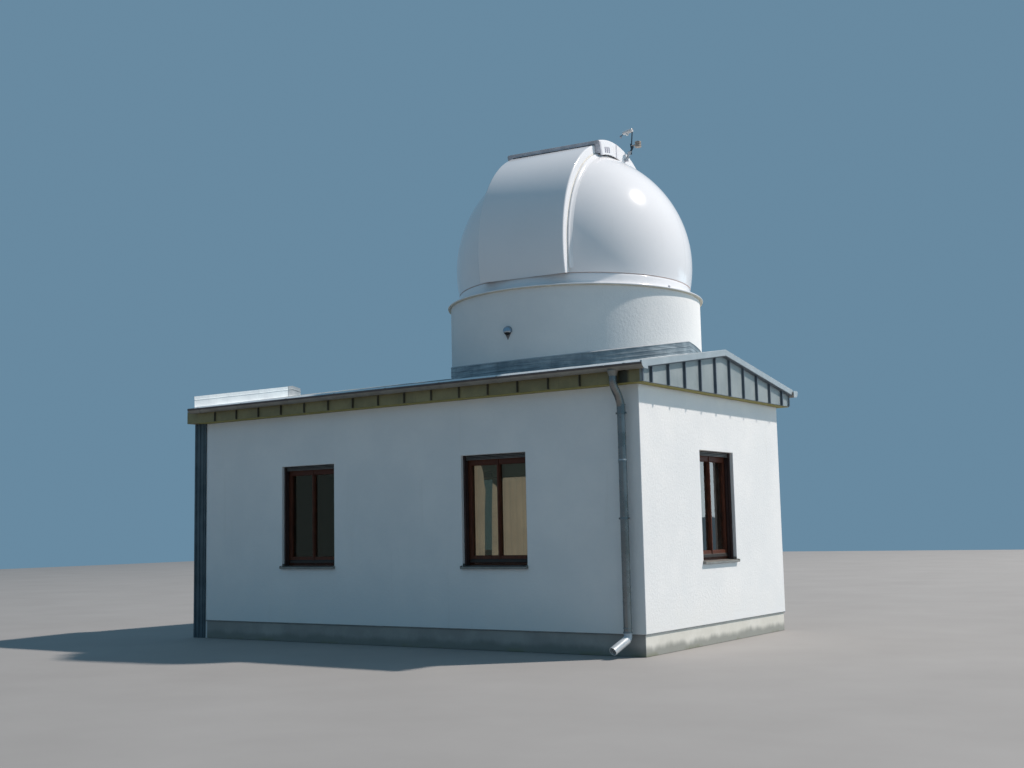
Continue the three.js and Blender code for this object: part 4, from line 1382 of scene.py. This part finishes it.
# The ring flashing and the drip edge under its lip, as (radius, above the drum's rim)
ring = {
    "foot": 4.0853,
    "profile": [
        (1.375, 0), (1.596, 0), (1.600, 0.003), (1.600, 0.009), (1.597, 0.013), (1.520, 0.0205), (1.496, 0.0245),
        (1.479, 0.0320), (1.468, 0.0440), (1.461, 0.0600), (1.456, 0.0850), (1.4525, 0.125), (1.4505, 0.1500),
        (1.446, 0.1565), (1.430, 0.1577), (1.375, 0.1577),
    ],
    "dripEdge": [(1.5606, -0.009), (1.594, -0.006), (1.596, -0.0003), (1.5606, -0.0003)],
    "clips": (-14.5, 75.5, 165.5), "clipX": (1.58, 1.599), "clipHalf": 0.009, "clipZ": (0.010, 0.034),
    "clipBevel": 0.001,
}


def onRoof(profile):
    # A profile of (radius, height above the roof) taken round the drum, following the two slopes
    points, faces = turned(profile, collar["steps"])
    return [(x, y, roofAt(y) + lift) for x, y, lift in points], faces


def makeDrum():
    profile = rectangle((drumSize["inside"], drumSize["outside"]), (drumSize["foot"], drumSize["top"]))
    makePiece(
        "rendered_drum", turned(profile, drumSize["steps"]), "render", "render",
        replaces=("drum_wall_1", "drum_wall_2", "drum_wall_3", "drum_wall_4"),
    )
    makePiece("zinc_collar", onRoof(collar["sheet"]), "collarZinc", "zinc", replaces=("drum_collar",))
    makePiece("collar_mastic", onRoof(collar["mastic"]), "paleMastic", "trim")


def makeVent():
    radius, out, height = vent["radius"], math.radians(vent["turn"]), vent["height"]
    place = Matrix.Translation((drumSize["outside"] * math.cos(out), drumSize["outside"] * math.sin(out), height))
    steps = vent["arcSteps"]
    rounds = arc((0, 0), radius, -90, 90, steps) + arc((0, 0), radius - vent["skin"], 90, -90, steps)
    cowl = turned([(max(r, 0), h) for r, h in rounds], vent["turns"])
    cowl = carved(cowl, box((-1, 1), (-1, 1), (-1, -vent["mouth"])))
    wall = turned([(0, -2), (vent["wall"], -2), (vent["wall"], 2), (0, 2)], drumSize["steps"])
    wall = moved(wall, place.inverted() @ Matrix.Translation((0, 0, height)))
    makePiece("vent_cowl", carved(cowl, wall), "cowl", "steel", place=place, replaces=("vent_hood",))
    facing = place @ Matrix.Rotation(out + math.pi / 2, 4, "Z")
    across = (-vent["louvreHalf"], vent["louvreHalf"])
    inside = [box(across, vent["louvreY"], (z, z + vent["louvre"])) for z in vent["louvres"]]
    inside.append(tube([(0, y, vent["throatZ"]) for y in vent["throatY"]], vent["throat"], vent["throatSides"]))
    makePiece("vent_louvres", merged(inside), "rubber", "mast", place=facing)
    # a dark plate round the vent's foot, running to a point below it
    plate = arc((0, 0), vent["plate"], *vent["plateTurn"], vent["plateSteps"]) + [(0, -vent["tip"])]
    flange = prism(plate, "y", vent["plateY"])
    makePiece("vent_flange", flange, "ventDarkPlate", "steel", place=facing, bevel=vent["plateBevel"])


def makeRing():
    skin, edge = ([(r, ring["foot"] + lift) for r, lift in ring[key]] for key in ("profile", "dripEdge"))
    makePiece("ring_skin", turned(skin, drumSize["steps"]), "gelcoat", "gelcoat", replaces=("ring_flashing",))
    makePiece("ring_drip_edge", turned(edge, drumSize["steps"]), "seal", "trim")
    half, z = ring["clipHalf"], [ring["foot"] + lift for lift in ring["clipZ"]]
    clip = box(ring["clipX"], (-half, half), z)  # these hold the flashing's joints
    clips = [moved(clip, Matrix.Rotation(math.radians(angle), 4, "Z")) for angle in ring["clips"]]
    makePiece("ring_joint_clips", merged(clips), "rim", "trim", bevel=ring["clipBevel"])


makeDrum()
makeVent()
makeRing()
print("drum made")

# Dome. Its pieces are made about the dome's own centre, with the slit facing -Y

slit = {"half": 0.5, "from": -4, "to": 114, "cut": 2, "steps": 24}
shell = {"steps": 56, "turns": 192, "brush": ((1.437, 1.449), (-0.3165, -0.3092))}
# The rails' profile as (across, radius)
rails = {
    "from": -11, "to": 192, "half": 0.61, "lift": 0.0011, "underSteps": 6,
    "cove": [(0.6095, 1.3555), (0.604, 1.3605), (0.592, 1.371), (0.583, 1.383), (0.578, 1.396), (0.572, 1.400)],
    "coaming": [(0.522, 1.40), (0.522, 1.436), (0.518, 1.44), (0.504, 1.44), (0.5, 1.436)],
}
frontCover = {
    "from": -12.9, "to": 74, "half": 0.56, "outer": 1.51, "inner": 1.497, "skirt": 0.014, "foot": 1.42, "round": 0.02,
    "seal": ((0.547, 0.5595), (1.4012, 1.4215)), "sealShort": 0.4,
    "runner": [(0.537, 1.4009), (0.559, 1.4009), (0.559, 1.44), (0.537, 1.44)], "runners": (0, 62),
}
upperCover = {
    "from": 69.5, "to": 121, "half": 0.632, "outer": 1.56, "inner": 1.544, "skirt": 0.014, "foot": 1.375,
    "round": 0.026, "skinFrom": 0.3,
    "rim": {"inner": 1.517, "skirt": 0.016, "proud": 0.001}, "frontRim": 1.6, "rearRim": (-1.7, 0.04),
    "closer": ((0.5635, 0.6315), (1.405, 1.55)), "closerAt": (0.05, 0.5),
    "runner": [(0.589, 1.3795), (0.617, 1.3592), (0.617, 1.44), (0.589, 1.44)], "runners": (74, 112),
    "joint": {"inner": 1.556, "skirt": 0.0045, "proud": 0.0006}, "jointAt": (88.9, 90.5),
    "ribs": (74.9, 77.3, 79.7), "ribWide": 1.3, "ribDeep": (-0.001, 0.0025), "ribHigh": (1.398, 1.468),
    "ribBevel": 0.001,
}
runner = {"turn": 4, "bevel": 0.002}
insideRound = 0.006  # how much tighter a cover's corners are bent inside
bendSteps = {"outside": 6, "inside": 4}


def domePiece(name, shape, finish, slot, body, **rest):
    return makePiece(name, shape, finish, slot, body, place=domePlace, **rest)


def makeShell():
    outside, inside = (
        arc((0, 0), radius, math.degrees(math.asin(-domeSize["drop"] / radius)), 90, shell["steps"])
        for radius in (domeSize["radius"], domeSize["radius"] - domeSize["skin"])
    )
    profile = [(max(r, 0), h) for r, h in outside + inside[::-1]]
    wedge = [(0, 0)] + [(-y, z) for y, z in arc((0, 0), slit["cut"], slit["from"], slit["to"], slit["steps"])]
    gap = prism(wedge, "x", (-slit["half"], slit["half"]))
    domePiece(
        "dome_skin", carved(turned(profile, shell["turns"]), gap), "shell", "gelcoat", "dome",
        replaces=("dome_shell_left", "dome_shell_right"),
    )
    dress("dome_foot_ring", "gelcoat")
    domePiece("skirt_brush", turned(rectangle(*shell["brush"]), shell["turns"]), "brush", "mast", "dome")


def makeRails():
    rest, steps = domeSize["radius"] + rails["lift"], rails["underSteps"]
    across = [slit["half"] + (rails["half"] - slit["half"]) * i / steps for i in range(steps + 1)]
    profile = [(a, math.sqrt(rest ** 2 - a ** 2)) for a in across] + rails["cove"] + rails["coaming"]
    for side, name in ((-1, "left"), (1, "right")):
        shape = hooped([(side * a, r) for a, r in profile], (rails["from"], rails["to"]))
        domePiece(f"rail_{name}", shape, "gelcoat", "gelcoat", "dome", replaces=(f"slit_rail_{name}",))


def channelProfile(cover):
    half, outer, inner, foot, bend = (cover[key] for key in ("half", "outer", "inner", "foot", "round"))
    leg, tight = half - cover["skirt"], bend - insideRound
    corner = arc((half - bend, outer - bend), bend, 0, 90, bendSteps["outside"])
    inside = arc((leg - tight, inner - tight), tight, 90, 0, bendSteps["inside"])
    right = [(half, foot), *corner]
    left = [(-a, r) for a, r in corner[::-1]] + [(-half, foot), (-leg, foot)]
    return right + left + [(-a, r) for a, r in inside[::-1]] + inside + [(leg, foot)]


def bandProfile(cover, band):
    # The channel a little proud of the cover, as deep as the band is
    proud = band["proud"]
    return channelProfile({**cover, **band, "half": cover["half"] + proud, "outer": cover["outer"] + proud})


def makeRunners(name, cover, body):
    blocks = []
    for side in (-1, 1):
        for angle in cover["runners"]:
            shape = [(side * a, r) for a, r in cover["runner"]]
            blocks.append(hooped(shape, (angle, angle + runner["turn"]), "cover"))
    domePiece(name, merged(blocks), "nylon", "mast", body, bevel=runner["bevel"])


def makeFrontCover():
    cover, body = frontCover, "front_shutter"
    skin = hooped(channelProfile(cover), (cover["from"], cover["to"]), "cover")
    domePiece("front_cover", skin, "gelcoat", "gelcoat", body, replaces=("front_shutter",))
    makeRunners("front_runners", cover, body)
    strips, short = [], cover["sealShort"]
    for side in (-1, 1):
        profile = [(side * a, r) for a, r in rectangle(*cover["seal"])]
        strips.append(hooped(profile, (cover["from"] + short, cover["to"] - short)))
    domePiece("front_cover_seals", merged(strips), "skirtSeal", "trim", body)


def makeUpperCover():
    cover, body, start = upperCover, "upper_shutter", upperCover["from"]
    skin = hooped(channelProfile(cover), (start + cover["skinFrom"], cover["to"]), "cover")
    domePiece("upper_cover", skin, "gelcoat", "gelcoat", body, replaces=("upper_shutter",))
    closers, closerAt = [], [start + turn for turn in cover["closerAt"]]
    for side in (-1, 1):  # plates that close the cover's front beside the front shutter
        across, radii = cover["closer"]
        closers.append(hooped(rectangle(oneSide(side, *across), radii), closerAt, "thin"))
    domePiece("upper_cover_closers", merged(closers), "closer", "trim", body)
    rim = bandProfile(cover, cover["rim"])
    # the front rim's grey finish paints the shade on the cover's front edge
    front = hooped(rim, (start, start + cover["frontRim"]), "short")
    domePiece("upper_cover_front_rim", front, "rim", "trim", body)
    rear = hooped(rim, [cover["to"] + turn for turn in cover["rearRim"]], "short")
    domePiece("upper_cover_rear_rim", rear, "gelcoat", "gelcoat", body)
    makeRunners("upper_runners", cover, body)
    # the joint's grey band paints the shade of the groove across the cover
    joint = hooped(bandProfile(cover, cover["joint"]), cover["jointAt"], "thin")
    domePiece("upper_cover_joint", joint, "rim", "trim", body)
    ribs, ribAcross = [], [cover["half"] + deep for deep in cover["ribDeep"]]
    for turn in cover["ribs"]:  # narrow ribs on each cheek, darker to paint the shade of its recesses
        for side in (-1, 1):
            rib = rectangle(oneSide(side, *ribAcross), cover["ribHigh"])
            ribs.append(hooped(rib, (turn, turn + cover["ribWide"]), "short"))
    domePiece("cheek_plates", merged(ribs), "cheek", "trim", body, bevel=cover["ribBevel"])


# The weather mast. Places as (out from the cheek, along, up) from the dome's centre
mast = {
    "cheek": 0.6323,
    "bracket": (((0.002, 0.038), (0.262, 0.280), 1.404), ((0.036, 0.074), (0.302, 0.322), 1.536)),
    "foot": ((0.0, 0.044), (0.256, 0.286), (1.394, 1.420)),
    "bracketBevel": 0.003, "poleBevel": 0.0015, "footBevel": 0.002,
    "boltAt": (0.2, 0.75), "boltHead": (0.001, -0.006), "bolt": 0.006,
}
# Its rods: places along each, radius there, and sides
mastRods = {
    "pole": (((0.062, 0.335, 1.498), (0.068, 0.338, 1.60), (0.086, 0.343, 1.8385)), (0.011, 0.0075, 0.0075), 20),
    "knee": (((0.050, 0.335, 1.522), (0.090, 0.337, 1.600)), 0.013, 16),
    "lug": (((0.064, 0.336, 1.585), (0.060, 0.336, 1.640)), 0.009, 16),
    "arm": ((
        (0.090, 0.343, 1.819), (0.086, 0.343, 1.8185), (0.02, 0.343, 1.806), (-0.040, 0.343, 1.794),
        (-0.050, 0.343, 1.792),
    ), (0.018, 0.0255, 0.0255, 0.022, 0.010), 18),
    "stalk": (((-0.040, 0.343, 1.786), (-0.072, 0.343, 1.762)), 0.005, 12),
    "stub": (((0.070, 0.338, 1.612), (0.1293, 0.340, 1.612)), 0.010, 12),
}
# The sensors as (radius, height) profiles, and where each hangs or stands
sensors = {
    "rain": ((0.012, 0.343, 1.789), [(0, 0), (0.016, 0), (0.021, -0.012), (0.017, -0.026), (0, -0.030)]),
    "light": ((-0.076, 0.343, 1.772), [
        (0, 0), (0.010, 0), (0.0145, -0.010), (0.0145, -0.024), (0.008, -0.034), (0, -0.036),
    ]),
    "shield": ((0.158, 0.340, 1.578), [(0.02952, 0), (0.041, 0.003), (0.03936, 0.0135), (0.02952, 0.0165)]),
    "shieldRings": 4, "shieldPitch": 0.0205, "steps": 24, "shieldSteps": 32,
}


def besideCheek(point):
    return (mast["cheek"] + point[0], point[1], point[2])


def mastRod(name):
    path, radius, sides = mastRods[name]
    return tube([besideCheek(point) for point in path], radius, sides)


def makeMast():
    cheek, body = mast["cheek"], "upper_shutter"
    bracket = loft([[(cheek + a, b, z) for a, b in rectangle(x, y)] for x, y, z in mast["bracket"]])
    domePiece("mast_bracket", bracket, "bracket", "steel", body, bevel=mast["bracketBevel"])
    pole = merged([mastRod(name) for name in ("pole", "knee", "lug")])
    domePiece("mast_pole", pole, "mast", "mast", body, bevel=mast["poleBevel"], replaces=("weather_mast",))
    foot = box([cheek + x for x in mast["foot"][0]], *mast["foot"][1:])
    domePiece("mast_foot", foot, "rim", "trim", body, bevel=mast["footBevel"])
    low, high = (Vector((sum(x) / 2, y[0], z)) for x, y, z in mast["bracket"])
    bolts = []
    for share in mast["boltAt"]:
        ends = [besideCheek(low.lerp(high, share) + Vector((0, y, 0))) for y in mast["boltHead"]]
        bolts.append(tube(ends, mast["bolt"], barSides["bolt"]))
    domePiece("mast_bolts", merged(bolts), "steel", "steel", body)
    domePiece("mast_arm", mastRod("arm"), "arm", "steel", body)
    domePiece("mast_arm_stalk", mastRod("stalk"), "mast", "mast", body)
    for kind, finish in (("rain", "sensorPale"), ("light", "eye")):
        at, profile = sensors[kind]
        shape = moved(turned(profile, sensors["steps"]), Matrix.Translation(besideCheek(at)))
        domePiece(f"{kind}_sensor", shape, finish, "sensor", body)
    at, dish = sensors["shield"]
    profile = [(0, 0)]
    for i in range(sensors["shieldRings"]):  # dished rings with a gap under each
        profile += [(r, sensors["shieldPitch"] * i + h) for r, h in dish]
    profile.append((0, profile[-1][1]))
    shield = moved(turned(profile, sensors["shieldSteps"]), Matrix.Translation(besideCheek(at)))
    shape = merged([shield, mastRod("stub")])
    domePiece("sensor_shield", shape, "sensor", "sensor", body, replaces=("weather_sensor",))


makeShell()
makeRails()
makeFrontCover()
makeUpperCover()
makeMast()
print("dome made")
